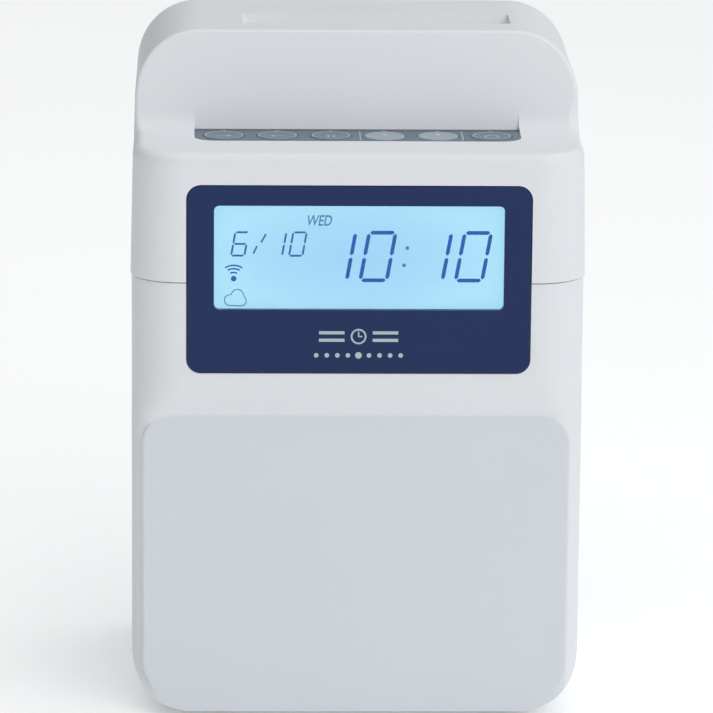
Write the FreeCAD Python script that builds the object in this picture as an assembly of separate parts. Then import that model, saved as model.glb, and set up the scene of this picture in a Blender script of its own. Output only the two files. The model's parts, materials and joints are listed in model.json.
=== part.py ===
"""Desktop punch time clock: a two-storey plastic housing with a hinged top cover, a card slot,
six push buttons, a display, and the card feed and print mechanism inside it.

Millimetres. +Z is up, the front faces -Y, and the origin is on the table under the middle of
the housing. Each function makes one sub-part, and PARTS at the end names them.
"""

import FreeCAD
import Part

import math
import os

Vector = FreeCAD.Vector

# ---- housing ---------------------------------------------------------------------------------
HALF_WIDTH = 77.5            # lower case
FRONT, REAR = -59.6, 59.6    # lower case's front face and rear face
COVER_PROUD = 0.4            # the top cover stands this much outside the lower case
COVER_TOP_HALF_WIDTH = 76.3  # the cover tapers to this at the top
WALL = 2.5
FOOT_HEIGHT = 1.8
SEAM_Z = 155.3               # where the lower case and the top cover meet
SEAM_GAP = 0.4
TOP_Z = 232.5
FRONT_CORNER, REAR_CORNER = 17.0, 8.0   # vertical edges, seen from above
BOTTOM_CORNER, TOP_CORNER = 21.0, 22.0  # front outline's corners
REAR_SPLIT_Y = 46.0          # lower case in front, rear case behind

PANEL_DEPTH = 4.2            # the flat lower front is set back by this
PANEL_HALF_WIDTH = 74.0
PANEL_TOP_Z = 107.8
PANEL_TOP_CORNER, PANEL_LOW_CORNER = 11.0, 18.0
PANEL_EDGE = 1.6
LOW_FRONT_CORNER = 10.0      # the case's upright front edges, beside the panel
FAIRING_HEIGHT = 15.5        # above the panel the front sweeps forward over this height
FAIRING_SECTIONS = 7

# ---- ledge and card head ---------------------------------------------------------------------
LEDGE_Z = 200.0
LEDGE_EDGE = 3.5
HEAD_FOOT_Y, HEAD_RIDGE_Y = -16.3, -4.0
HEAD_HOLLOW = 8.5            # hollow between ledge and head, outside the key strip
RIDGE_EDGE, BACK_EDGE = 1.4, 3.0

# ---- card path -------------------------------------------------------------------------------
CARD_X, CARD_Y = 7.0, 13.0
THROAT_WIDTH, THROAT_GAP = 88.0, 5.0
MOUTH_WIDTH, MOUTH_FRONT_Y, MOUTH_REAR_Y = 94.2, 10.0, 28.7
THROAT_Z = 214.0
CHUTE_GAP, CHUTE_WALL = 2.6, 1.0

# ---- key strip -------------------------------------------------------------------------------
STRIP_HALF_WIDTH, STRIP_FRONT_Y, STRIP_CORNER = 56.0, -36.8, 7.0
SHEET = 0.4
KEY_COUNT, KEY_PITCH, KEY_Y, KEY_RADIUS = 6, 18.4, -28.4, 7.05
KEY_CLEARANCE = 0.2

# ---- display ---------------------------------------------------------------------------------
BEZEL_HALF_WIDTH, BEZEL_LOW_Z, BEZEL_HIGH_Z, BEZEL_CORNER = 58.5, 123.9, 189.1, 4.8
BEZEL_GAP = 0.25
BEZEL_FRONT_Y, BEZEL_THICK = -60.0, 2.2
WINDOW_HALF_WIDTH, WINDOW_LOW_Z, WINDOW_HIGH_Z = 49.3, 146.0, 182.2

# ---- hinge and lock --------------------------------------------------------------------------
HINGE_Y, HINGE_Z, HINGE_ROUND = 56.6, 158.7, 3.4
PIN_RADIUS, PIN_BORE = 1.3, 1.36
LOCK_Y, LOCK_Z = -11.0, 138.5

# ---- frame and mechanism ---------------------------------------------------------------------
PLATE_LEFT_X, PLATE_RIGHT_X, PLATE = -53.0, 67.0, 1.5
FEED_Y, LOWER_FEED_Z, UPPER_FEED_Z = 21.4, 135.0, 189.0
FEED_RADIUS, PINCH_RADIUS = 8.0, 5.0
ROLLER_OFFSET, ROLLER_WIDTH = 28.0, 10.0
SHAFT_RADIUS, PINCH_SHAFT_RADIUS = 2.5, 1.5
RUNNING = 0.05               # radial clearance of a running fit
PINCH_Y = CARD_Y - PINCH_RADIUS - 0.2
MODULE = 0.8
PINION_TEETH, IDLER_TEETH, FEED_TEETH = 12, 40, 30
GEAR_X, GEAR_WIDTH = -58.6, 4.0
MESH_SLACK = 0.1
BELT_X, BELT_WIDTH, BELT_THICK = 69.6, 3.4, 1.2
PULLEY_RADIUS = 6.0
PRINT_Z = 160.0
GUIDE_Y, GUIDE_Z, GUIDE_RADIUS = -14.0, 142.0, 3.0
CARRIAGE_PULLEY_Y, CARRIAGE_PULLEY_Z = -26.0, 132.0
CARRIAGE_PULLEY_XS = (-43.0, 57.0)
CASSETTE_LOW_Z, CASSETTE_HIGH_Z = 151.5, 170.5
BOARD_Y, BOARD_THICK = 43.0, 1.6
PORT_Z = 22.0
DC_X, LAN_X, USB_X = -44.0, -12.0, 22.0


# ---- shape helpers ---------------------------------------------------------------------------
def block(x0, x1, y0, y1, z0, z1):
    """A box between two corners."""
    return Part.makeBox(x1 - x0, y1 - y0, z1 - z0, Vector(x0, y0, z0))


def rod(x, y, z, axis, length, radius):
    """A cylinder that starts at a point and runs along X, Y or Z."""
    direction = {"x": Vector(1, 0, 0), "y": Vector(0, 1, 0), "z": Vector(0, 0, 1)}[axis]
    return Part.makeCylinder(radius, length, Vector(x, y, z), direction)


def tube(x, y, z, axis, length, outer, inner):
    return rod(x, y, z, axis, length, outer).cut(rod(x, y, z, axis, length, inner))


def rounded_wire(corners, place, closed=True):
    """A wire through (u, v, radius) corners, each rounded to its radius, put in space by place."""
    points = [Vector(u, v, 0) for u, v, _ in corners]
    count = len(corners)
    runs, arcs = [], []
    for i, (u, v, radius) in enumerate(corners):
        here = points[i]
        if radius <= 0 or (not closed and i in (0, count - 1)):
            runs.append((here, here))
            arcs.append(None)
            continue
        back = (points[i - 1] - here).normalize()
        on = (points[(i + 1) % count] - here).normalize()
        half = math.acos(max(-1.0, min(1.0, back.dot(on)))) / 2
        reach = radius / math.tan(half)
        first, last = here + back * reach, here + on * reach
        middle = here + (back + on).normalize() * (radius / math.sin(half) - radius)
        runs.append((first, last))
        arcs.append(middle)
    edges = []
    for i in range(count):
        first, last = runs[i]
        if arcs[i] is not None:
            bend = [place(p.x, p.y) for p in (first, arcs[i], last)]
            edges.append(Part.Arc(*bend).toShape())
        if i == count - 1 and not closed:
            break
        following = runs[(i + 1) % count][0]
        if (following - last).Length > 1e-6:
            edges.append(Part.makeLine(place(last.x, last.y), place(following.x, following.y)))
    return Part.Wire(edges)


def in_xz(y):
    return lambda u, v: Vector(u, y, v)


def in_xy(z):
    return lambda u, v: Vector(u, v, z)


def in_yz(x):
    return lambda u, v: Vector(x, u, v)


def slab_xz(corners, y0, y1):
    return Part.Face(rounded_wire(corners, in_xz(y0))).extrude(Vector(0, y1 - y0, 0))


def slab_xy(corners, z0, z1):
    return Part.Face(rounded_wire(corners, in_xy(z0))).extrude(Vector(0, 0, z1 - z0))


def slab_yz(corners, x0, x1):
    return Part.Face(rounded_wire(corners, in_yz(x0))).extrude(Vector(x1 - x0, 0, 0))


def oblong(x0, x1, z0, z1, radius):
    """Corners of a rectangle with one radius."""
    return [(x0, z0, radius), (x1, z0, radius), (x1, z1, radius), (x0, z1, radius)]


def plan_corners(half_width, front, rear, front_radius, rear_radius):
    return [
        (-half_width, front, front_radius),
        (half_width, front, front_radius),
        (half_width, rear, rear_radius),
        (-half_width, rear, rear_radius),
    ]


def fuse_all(shapes):
    first, *others = shapes
    return first.fuse(others).removeSplitter() if others else first


def filleted(shape, radius, chosen):
    """The shape with the edges that chosen accepts rounded to radius."""
    edges = [e for e in shape.Edges if chosen(e)]
    return shape.makeFillet(radius, edges)


def rounded_by_edge(shape, radii):
    """The shape with edges rounded to radii(edge), a pair for the edge's two ends, or None."""
    document = FreeCAD.newDocument("rounding")
    base = document.addObject("Part::Feature", "base")
    base.Shape = shape
    fillet = document.addObject("Part::Fillet", "fillet")
    fillet.Base = base
    fillet.Edges = [(i, *radii(e)) for i, e in enumerate(shape.Edges, 1) if radii(e)]
    document.recompute()
    rounded = fillet.Shape.copy()
    FreeCAD.closeDocument(document.Name)
    return rounded


# ---- lower case and rear case ----------------------------------------------------------------
def lower_body(inset, front, corner, top_z):
    """The housing below the seam as one block: its plan and its front outline, crossed."""
    half = HALF_WIDTH - inset
    plan = plan_corners(half, front, REAR - inset, corner, REAR_CORNER - inset)
    base = FOOT_HEIGHT + inset
    wide, radius = half + 6, BOTTOM_CORNER - inset
    outline = [
        (-wide, base + radius, 0), (-half, base + radius, 0), (-half, base, radius - 0.001),
        (half, base, radius - 0.001), (half, base + radius, 0), (wide, base + radius, 0),
        (wide, top_z, 0), (-wide, top_z, 0),
    ]
    return slab_xy(plan, base - 2, top_z).common(slab_xz(outline, FRONT - 10, REAR + 10))


def front_panel():
    """The flat lower front: flush with the middle of the case, and clear of its round upright edges."""
    panel_y = FRONT + PANEL_DEPTH
    half, top_z = PANEL_HALF_WIDTH, PANEL_TOP_Z + 1
    outline = [(-half, FOOT_HEIGHT, PANEL_LOW_CORNER), (half, FOOT_HEIGHT, PANEL_LOW_CORNER),
               (half, top_z, PANEL_TOP_CORNER), (-half, top_z, PANEL_TOP_CORNER)]
    slab = slab_xz(outline, panel_y, panel_y + 8)
    return filleted(slab, PANEL_EDGE, lambda edge: edge.BoundBox.YMax < panel_y + 0.01)


def fairing(back):
    """The front above the panel: it swells forward, and its upright edges grow rounder, up to full depth."""
    foot_turn = 2 * math.atan(PANEL_DEPTH / FAIRING_HEIGHT)
    swell = FAIRING_HEIGHT / math.sin(foot_turn)
    wires = []
    for i in range(FAIRING_SECTIONS):
        turn = foot_turn * (1 - i / (FAIRING_SECTIONS - 1))
        depth = swell * (1 - math.cos(turn))
        corner = FRONT_CORNER + (LOW_FRONT_CORNER - FRONT_CORNER) * depth / PANEL_DEPTH
        z = PANEL_TOP_Z + FAIRING_HEIGHT - swell * math.sin(turn)
        wires.append(rounded_wire(plan_corners(HALF_WIDTH, FRONT + depth, back, corner, 0), in_xy(z)))
    return Part.makeLoft(wires, True)


def bezel_opening(gap):
    return oblong(-BEZEL_HALF_WIDTH - gap, BEZEL_HALF_WIDTH + gap, BEZEL_LOW_Z - gap, BEZEL_HIGH_Z + gap,
                  BEZEL_CORNER + gap)


BOSS_X, BOSS_Y, BOSS_ZS, BOSS_RADIUS = 66.0, 39.6, (24.0, 146.0), 3.6
CASE_SCREW_RADIUS = 1.5
FOOT_X, FOOT_YS, FOOT_RADIUS = 48.0, (-42.0, 38.5), 6.5
CHASSIS_POSTS = [(x, y) for x in (-44.0, 58.0) for y in (-8.0, 34.0)]
CHASSIS_Z = 11.5


def housing_block():
    """The lower case and the rear case together, before they are hollowed and parted."""
    crest_z, fairing_back = PANEL_TOP_Z + FAIRING_HEIGHT, FRONT + 30
    low = lower_body(0, FRONT + PANEL_DEPTH, LOW_FRONT_CORNER, PANEL_TOP_Z)
    behind = slab_xy(plan_corners(HALF_WIDTH, fairing_back, REAR, 0, REAR_CORNER), PANEL_TOP_Z, crest_z)
    plan = plan_corners(HALF_WIDTH, FRONT, REAR, FRONT_CORNER, REAR_CORNER)
    high = slab_xy(plan, crest_z, SEAM_Z - SEAM_GAP / 2)
    return fuse_all([low, fairing(fairing_back), behind, high, front_panel()])


def hollow_block():
    """The space inside the lower housing."""
    panel_y = FRONT + PANEL_DEPTH
    low = lower_body(WALL, panel_y + WALL, FRONT_CORNER - WALL, SEAM_Z + 5)
    high = slab_xy(plan_corners(HALF_WIDTH - WALL, FRONT + WALL, REAR - WALL, FRONT_CORNER - WALL,
                                REAR_CORNER - WALL), PANEL_TOP_Z + 18, SEAM_Z + 5)
    return low.fuse(high)


def lower_case():
    shell = housing_block().cut(hollow_block())
    shell = shell.cut(block(-90, 90, REAR_SPLIT_Y, 80, -5, 200))
    lip_outer = slab_xy(plan_corners(HALF_WIDTH - 2.9, FRONT + 2.9, REAR, 14.1, 5), 149.0, 158.4)
    lip_inner = slab_xy(plan_corners(HALF_WIDTH - 4.1, FRONT + 4.1, REAR + 5, 12.9, 5), 148.0, 159.0)
    lip_foot = slab_xy(plan_corners(HALF_WIDTH - 1.5, FRONT + 1.5, REAR, 15.5, 5), 149.0, 151.0)
    lip = lip_outer.fuse(lip_foot).cut(lip_inner)
    lip = lip.cut(block(-90, 90, 44, 80, 100, 200)).cut(block(-61, 61, -80, -40, 100, 200))
    bosses = [rod(x, BOSS_Y, z, "y", REAR_SPLIT_Y - BOSS_Y, BOSS_RADIUS)
              for x in (-BOSS_X, BOSS_X) for z in BOSS_ZS]
    webs = [block(min(x, s), max(x, s), BOSS_Y, REAR_SPLIT_Y, z - 1, z + 1)
            for x, s in ((BOSS_X, HALF_WIDTH - 1), (-BOSS_X, 1 - HALF_WIDTH)) for z in BOSS_ZS]
    posts = [rod(x, y, FOOT_HEIGHT + 1, "z", CHASSIS_Z - FOOT_HEIGHT - 1, 4.0) for x, y in CHASSIS_POSTS]
    shelf = [block(s * 56.0 - 3.5, s * 56.0 + 3.5, FRONT + 1.5, -53.0, 124.0, 150.0) for s in (-1, 1)]
    shell = fuse_all([shell, lip, *bosses, *webs, *posts, *shelf])
    shell = shell.cut(slab_xz(bezel_opening(BEZEL_GAP), -70, BEZEL_FRONT_Y + BEZEL_THICK + 0.05))
    shell = shell.cut(slab_xz(oblong(-57.4, 57.4, 125.4, 200, 2.0), -70, -50))
    for x in (-BOSS_X, BOSS_X):
        for z in BOSS_ZS:
            shell = shell.cut(rod(x, BOSS_Y - 1, z, "y", 20, CASE_SCREW_RADIUS + 0.02))
    for x, y in CHASSIS_POSTS:
        shell = shell.cut(rod(x, y, FOOT_HEIGHT + 2, "z", 10, 1.52))
    for x, y in foot_places():
        shell = shell.cut(rod(x, y, FOOT_HEIGHT - 1, "z", 2.0, FOOT_RADIUS + 0.15))
    shell = shell.cut(rod(-90, LOCK_Y, LOCK_Z, "x", 30, 8.0 + 0.1))
    return keep_largest(shell)


def keep_largest(shape):
    """The largest solid of a shape, without slivers left by a cut."""
    return max(shape.Solids, key=lambda s: s.Volume)


def foot_places():
    return [(x, y) for x in (-FOOT_X, FOOT_X) for y in FOOT_YS]


PORT_OPENINGS = {
    "dc": (DC_X, 10.2, 10.2),
    "lan": (LAN_X, 16.4, 14.4),
    "usb": (USB_X, 14.4, 7.0),
}
EAR_XS = (-61.0, 55.0)
EAR_WIDTH = 6.0


def rear_case():
    shell = housing_block().cut(hollow_block())
    shell = shell.common(block(-90, 90, REAR_SPLIT_Y + 0.3, 80, -5, 200))
    pads = [rod(x, REAR_SPLIT_Y + 0.3, z, "y", REAR - REAR_SPLIT_Y - 2, BOSS_RADIUS)
            for x in (-BOSS_X, BOSS_X) for z in BOSS_ZS]
    ears = []
    for x in EAR_XS:
        ears.append(rod(x, HINGE_Y, HINGE_Z, "x", EAR_WIDTH, 3.0))
        ears.append(block(x, x + EAR_WIDTH, HINGE_Y - 3.0, HINGE_Y + 1.0, SEAM_Z - 6, HINGE_Z))
    hanger = [block(x - 9, x + 9, REAR - 5.2, REAR - 1, 104, 132) for x in (-40, 40)]
    shell = fuse_all([shell, *pads, *ears, *hanger])
    for x in (-BOSS_X, BOSS_X):
        for z in BOSS_ZS:
            shell = shell.cut(rod(x, REAR_SPLIT_Y - 1, z, "y", 20, CASE_SCREW_RADIUS + 0.15))
            shell = shell.cut(rod(x, REAR - 3.4, z, "y", 6, 3.2))
    for x in EAR_XS:
        shell = shell.cut(rod(x - 1, HINGE_Y, HINGE_Z, "x", EAR_WIDTH + 2, PIN_RADIUS))
    for x, width, height in PORT_OPENINGS.values():
        mouth = oblong(x - width / 2, x + width / 2, PORT_Z - height / 2, PORT_Z + height / 2, 0.5)
        shell = shell.cut(slab_xz(mouth, REAR - 8, REAR + 4))
    for x in (-40, 40):
        shell = shell.cut(rod(x, REAR - 3.6, 112, "y", 6, 4.5))
        shell = shell.cut(slab_xz(oblong(x - 2.25, x + 2.25, 110, 124, 2.2), REAR - 1.6, REAR + 4))
        shell = shell.cut(slab_xz(oblong(x - 4.5, x + 4.5, 107.5, 126.2, 4.4), REAR - 3.6, REAR - 1.5))
    vents = [slab_xz(oblong(-30, 30, 60 + 6 * i, 62.2 + 6 * i, 1.0), REAR - 8, REAR + 4) for i in range(6)]
    return keep_largest(shell.cut(vents))


def rear_case_screws():
    """Countersunk in the rear case, they thread into the lower case's bosses."""
    screws = []
    for x in (-BOSS_X, BOSS_X):
        for z in BOSS_ZS:
            head = rod(x, REAR - 3.35, z, "y", 1.9, 2.9)
            head = head.cut(block(x - 1.9, x + 1.9, REAR - 2.2, REAR, z - 0.35, z + 0.35))
            head = head.cut(block(x - 0.35, x + 0.35, REAR - 2.2, REAR, z - 1.9, z + 1.9))
            screws.append(head.fuse(rod(x, 40.2, z, "y", REAR - 43.5, CASE_SCREW_RADIUS)).removeSplitter())
    return screws


def rubber_feet():
    feet = []
    for x, y in foot_places():
        foot = rod(x, y, 0, "z", FOOT_HEIGHT + 1.0, FOOT_RADIUS)
        feet.append(filleted(foot, 0.8, lambda e: e.BoundBox.ZMax < 0.1))
    return Part.makeCompound(feet)


# ---- top cover -------------------------------------------------------------------------------
def cover_sections(inset, z0, z1):
    """The cover's tapering block between two heights."""
    wires = []
    for z in (z0, z1):
        rise = (z - SEAM_Z) / (TOP_Z - SEAM_Z)
        half = HALF_WIDTH + COVER_PROUD + (COVER_TOP_HALF_WIDTH - HALF_WIDTH - COVER_PROUD) * rise - inset
        corners = plan_corners(half, FRONT - COVER_PROUD + inset, REAR + COVER_PROUD - inset,
                               FRONT_CORNER - inset, REAR_CORNER - inset)
        wires.append(rounded_wire(corners, in_xy(z)))
    return Part.makeLoft(wires, True, True)


def head_line(inset):
    """The head's front face in the YZ plane: its foot on the ledge, and a point above its ridge."""
    lean = math.atan2(HEAD_RIDGE_Y - HEAD_FOOT_Y, TOP_Z - LEDGE_Z)
    shift = inset / math.cos(lean) + (-inset) * math.tan(lean)
    slope = math.tan(lean)
    foot = (HEAD_FOOT_Y + shift, LEDGE_Z - inset)
    return foot, (foot[0] + slope * (50 + inset), LEDGE_Z + 50)


def ledge_cutter(inset, hollow, half_width, drop, front):
    """What is taken off above the ledge and in front of the head."""
    (foot_y, foot_z), (top_y, top_z) = head_line(inset)
    slope = (top_y - foot_y) / (top_z - foot_z)
    foot_y, foot_z = foot_y - slope * drop, foot_z - drop
    corners = [(front, foot_z, 0), (foot_y, foot_z, hollow), (top_y, top_z, 0), (front, top_z, 0)]
    return slab_yz(corners, -half_width, half_width)


def top_outline(inset):
    half = COVER_TOP_HALF_WIDTH + 0.46 - inset
    radius = TOP_CORNER - inset
    top = TOP_Z - inset
    wide = HALF_WIDTH + 6
    corners = [
        (-wide, SEAM_Z - 20, 0), (wide, SEAM_Z - 20, 0), (wide, top - radius, 0), (half, top - radius, 0),
        (half, top, radius - 0.001), (-half, top, radius - 0.001), (-half, top - radius, 0),
        (-wide, top - radius, 0),
    ]
    return slab_xz(corners, FRONT - 10, REAR + 10)


def cover_block():
    body = cover_sections(0, SEAM_Z + SEAM_GAP / 2, TOP_Z + 4).common(top_outline(0))
    body = body.cut(ledge_cutter(0, HEAD_HOLLOW, 90, 0, -90))

    def front_rim(edge):
        """The rim runs round the ledge, up the hollow on each side, and over the head's ridge."""
        box = edge.BoundBox
        low, high = (edge.valueAt(edge.FirstParameter), edge.valueAt(edge.LastParameter))
        across = box.XMax - box.XMin > 140
        if box.ZMin < LEDGE_Z - 0.1 or box.YMax > HEAD_RIDGE_Y + 0.1 or across:
            return None
        if box.ZMax < LEDGE_Z + 0.1:
            return LEDGE_EDGE, LEDGE_EDGE
        if box.ZMin < LEDGE_Z + 0.1:
            return (LEDGE_EDGE, RIDGE_EDGE) if low.z < high.z else (RIDGE_EDGE, LEDGE_EDGE)
        return RIDGE_EDGE, RIDGE_EDGE

    def back_edge(edge):
        box = edge.BoundBox
        return box.ZMin > TOP_Z - 0.1 and box.YMin > 50 and box.XMax - box.XMin > 60

    body = rounded_by_edge(filleted(body, BACK_EDGE, back_edge), front_rim)
    strip = ledge_cutter(0, 0, STRIP_HALF_WIDTH, 0, HEAD_FOOT_Y - 9)
    return body.cut(strip)


def strip_corners(gap):
    """The key strip's outline, rounded at its front corners."""
    half = STRIP_HALF_WIDTH + gap
    rear = HEAD_FOOT_Y
    return [(-half, STRIP_FRONT_Y - gap, STRIP_CORNER), (half, STRIP_FRONT_Y - gap, STRIP_CORNER),
            (half, rear, 0), (-half, rear, 0)]


def key_places():
    return [(i - (KEY_COUNT - 1) / 2) * KEY_PITCH for i in range(KEY_COUNT)]


def hopper():
    """The funnel under the card slot, and the void that it leads the card through."""
    half = MOUTH_WIDTH / 2
    throat = THROAT_WIDTH / 2
    walls = block(CARD_X - half - 3, CARD_X + half + 3, MOUTH_FRONT_Y - 3, MOUTH_REAR_Y + 3, THROAT_Z - 2,
                  TOP_Z - 1)
    slope = block(-200, 200, 0, 60, -60, 0)
    slope.rotate(Vector(0, 0, 0), Vector(1, 0, 0), 45)
    slope.translate(Vector(0, MOUTH_REAR_Y - 8, THROAT_Z - 2))
    walls = walls.cut(slope)
    mouth = oblong(CARD_X - half, CARD_X + half, MOUTH_FRONT_Y, MOUTH_REAR_Y, 1.5)
    mouth_wire = rounded_wire(mouth, in_xy(TOP_Z))
    throat_wire = rounded_wire(oblong(CARD_X - throat, CARD_X + throat, CARD_Y - THROAT_GAP / 2,
                                      CARD_Y + THROAT_GAP / 2, 1.5), in_xy(THROAT_Z))
    void = Part.makeLoft([throat_wire, mouth_wire], True, True)
    neck = slab_xy(oblong(CARD_X - throat, CARD_X + throat, CARD_Y - THROAT_GAP / 2,
                          CARD_Y + THROAT_GAP / 2, 1.5), THROAT_Z - 6, THROAT_Z)
    above = slab_xy(mouth, TOP_Z, TOP_Z + 5)
    return walls, fuse_all([void, neck, above])


CATCH_X = -72.9              # the lock's catch lies against the cover's pad here
CATCH_THICK = 1.6
CATCH_Y0, CATCH_Y1 = -38.0, -24.0
CATCH_PAD_Z, CATCH_TOP_Z = 161.0, 172.0
KEY_POSTS = [(x, y) for x in (-55.5, 55.5) for y in (-36.0, -21.0)]
KEY_BOARD_Z = 187.2


def top_cover():
    inner = cover_sections(WALL, SEAM_Z - 10, TOP_Z).common(top_outline(WALL))
    inner = inner.cut(ledge_cutter(WALL, 0, 90, 0, -90))
    outer = cover_block()
    walls, void = hopper()
    shell = outer.cut(inner)
    catch_pad = block(-76.0, CATCH_X, CATCH_Y0, CATCH_Y1, CATCH_PAD_Z, CATCH_TOP_Z)
    posts = [rod(x, y, KEY_BOARD_Z + 1.6, "z", LEDGE_Z - 2 - KEY_BOARD_Z - 1.6, 2.4) for x, y in KEY_POSTS]
    ears = []
    for x in EAR_XS:
        start = x + EAR_WIDTH + 0.4 if x > 0 else x - 0.4 - 6.0
        ears.append(rod(start, HINGE_Y, HINGE_Z, "x", 6.0, HINGE_ROUND))
        ears.append(block(start, start + 6.0, HINGE_Y, REAR - 1, HINGE_Z, HINGE_Z + HINGE_ROUND))
    shell = fuse_all([shell, walls.common(top_outline(1)), *posts, *ears, catch_pad])
    shell = shell.cut(void)
    # The rear lower edge is round about the hinge axis, so that it clears the rear case as it turns.
    corner = block(-90, 90, HINGE_Y, REAR + 5, SEAM_Z - 5, HINGE_Z)
    shell = shell.cut(corner.cut(rod(-95, HINGE_Y, HINGE_Z, "x", 190, HINGE_ROUND)))
    for x in EAR_XS:
        shell = shell.cut(rod(x - 0.3, HINGE_Y, HINGE_Z, "x", EAR_WIDTH + 0.6, 3.5))
        shell = shell.cut(block(x - 0.3, x + EAR_WIDTH + 0.3, HINGE_Y - 4, REAR + 5, SEAM_Z - 5, HINGE_Z))
        start = x + EAR_WIDTH if x > 0 else x - 7.0
        shell = shell.cut(rod(start, HINGE_Y, HINGE_Z, "x", 7.0, PIN_BORE))
    shell = shell.cut(slab_xz(notch_corners(), -70, -50))
    shell = shell.cut(slab_xy(strip_corners(0.15), LEDGE_Z - SHEET, LEDGE_Z + 1))
    for x in key_places():
        shell = shell.cut(rod(x, KEY_Y, LEDGE_Z - 8, "z", 12, KEY_RADIUS + KEY_CLEARANCE))
    for x, y in KEY_POSTS:
        shell = shell.cut(rod(x, y, KEY_BOARD_Z - 1, "z", 7.5, 1.02))
    return keep_largest(shell)


def notch_corners():
    """The cover's opening for the bezel, open at the bottom."""
    half, gap = BEZEL_HALF_WIDTH, BEZEL_GAP
    return [(-half - gap, SEAM_Z - 10, 0), (half + gap, SEAM_Z - 10, 0),
            (half + gap, BEZEL_HIGH_Z + gap, BEZEL_CORNER + gap),
            (-half - gap, BEZEL_HIGH_Z + gap, BEZEL_CORNER + gap)]


def cover_hinge_pins():
    pins = []
    for x in EAR_XS:
        start = x if x > 0 else x - 6.3
        pins.append(rod(start, HINGE_Y, HINGE_Z, "x", EAR_WIDTH + 6.3, PIN_RADIUS))
    return Part.makeCompound(pins)


# ---- keys ------------------------------------------------------------------------------------
def key_sheet():
    sheet = slab_xy(strip_corners(0), LEDGE_Z - SHEET, LEDGE_Z)
    holes = [rod(x, KEY_Y, LEDGE_Z - 2, "z", 4, KEY_RADIUS + KEY_CLEARANCE) for x in key_places()]
    return sheet.cut(holes)


def key_button(x):
    cap = rod(x, KEY_Y, LEDGE_Z - 4.2, "z", 4.5, KEY_RADIUS)
    cap = filleted(cap, 0.5, lambda e: e.BoundBox.ZMin > LEDGE_Z + 0.2)
    dish = Part.makeSphere(60, Vector(x, KEY_Y, LEDGE_Z + 0.3 + 60 - 0.35))
    flange = rod(x, KEY_Y, LEDGE_Z - 4.3, "z", 1.2, KEY_RADIUS + 0.9)
    stem = rod(x, KEY_Y, LEDGE_Z - 6.8, "z", 3.0, 1.9)
    return fuse_all([cap.cut(dish), flange, stem])


def key_board():
    board = block(-58, 58, -39.5, -18.0, KEY_BOARD_Z, KEY_BOARD_Z + 1.6)
    holes = [rod(x, y, KEY_BOARD_Z - 1, "z", 4, 1.3) for x, y in KEY_POSTS]
    return board.cut(holes)


def key_switches():
    switches = []
    for x in key_places():
        body = block(x - 3, x + 3, KEY_Y - 3, KEY_Y + 3, KEY_BOARD_Z + 1.6, KEY_BOARD_Z + 4.6)
        switches.append(body.fuse(rod(x, KEY_Y, KEY_BOARD_Z + 4.6, "z", 0.5, 1.6)).removeSplitter())
    return Part.makeCompound(switches)


# ---- display ---------------------------------------------------------------------------------
def display_bezel():
    back = BEZEL_FRONT_Y + BEZEL_THICK
    plate = slab_xz(bezel_opening(0), BEZEL_FRONT_Y, back)
    plate = filleted(plate, 0.3, lambda e: e.BoundBox.YMax < BEZEL_FRONT_Y + 0.01)
    window = slab_xz(oblong(-WINDOW_HALF_WIDTH, WINDOW_HALF_WIDTH, WINDOW_LOW_Z, WINDOW_HIGH_Z, 1.8),
                     BEZEL_FRONT_Y - 1, back + 1)
    return plate.cut(window)


def display_lens():
    front = BEZEL_FRONT_Y + 0.5
    back = BEZEL_FRONT_Y + BEZEL_THICK
    step = slab_xz(oblong(-WINDOW_HALF_WIDTH + 0.05, WINDOW_HALF_WIDTH - 0.05, WINDOW_LOW_Z + 0.05,
                          WINDOW_HIGH_Z - 0.05, 1.75), front, back)
    flange = slab_xz(oblong(-52.5, 52.5, WINDOW_LOW_Z - 2.6, WINDOW_HIGH_Z + 2.6, 1.5), back, back + 0.8)
    return fuse_all([step, flange])


def lcd_panel():
    return block(-51.5, 51.5, -56.8, -54.8, 143.6, 184.6)


def display_holder():
    """The white light box that holds the display panel and lights it from behind."""
    frame = slab_xz(oblong(-57.0, 57.0, 125.8, 187.6, 2.0), -57.7, -50.0)
    frame = frame.cut(block(-52.0, 52.0, -57.0, -54.7, 143.2, 185.0))
    frame = frame.cut(block(-49.0, 49.0, -55.0, -53.2, 146.0, 182.0))
    frame = frame.cut(block(-52.7, 52.7, -58.0, -56.9, 143.2, 185.0))
    return frame.cut(block(-50.0, 50.0, -55.0, -49.0, 129.0, 140.0))


def display_board():
    return block(-55.0, 55.0, -49.9, -48.3, 127.5, 186.0)


def display_board_parts():
    """The driver chip, the crystal, the buzzer and the ribbon socket on the back of the display board."""
    chip = block(-12, 2, -48.3, -46.1, 150, 164)
    crystal = slab_xz(oblong(14, 22, 154, 158, 1.9), -48.3, -45.3)
    buzzer = rod(38, -48.3, 152, "y", 3.6, 6.0)
    socket = block(-44, -20, -48.3, -43.3, 134, 140)
    return Part.makeCompound([chip, crystal, buzzer, socket])


# ---- lock ------------------------------------------------------------------------------------
LOCK_FACE_X = -HALF_WIDTH
SLEEVE_END_X, CAM_X0, CAM_X1 = -67.2, -66.6, -64.8


def lock_sleeve():
    sleeve = rod(LOCK_FACE_X, LOCK_Y, LOCK_Z, "x", SLEEVE_END_X - LOCK_FACE_X, 8.0)
    flange = rod(-74.95, LOCK_Y, LOCK_Z, "x", 3.0, 10.5)
    return fuse_all([sleeve, flange]).cut(rod(-90, LOCK_Y, LOCK_Z, "x", 40, 6.0 + RUNNING))


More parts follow.
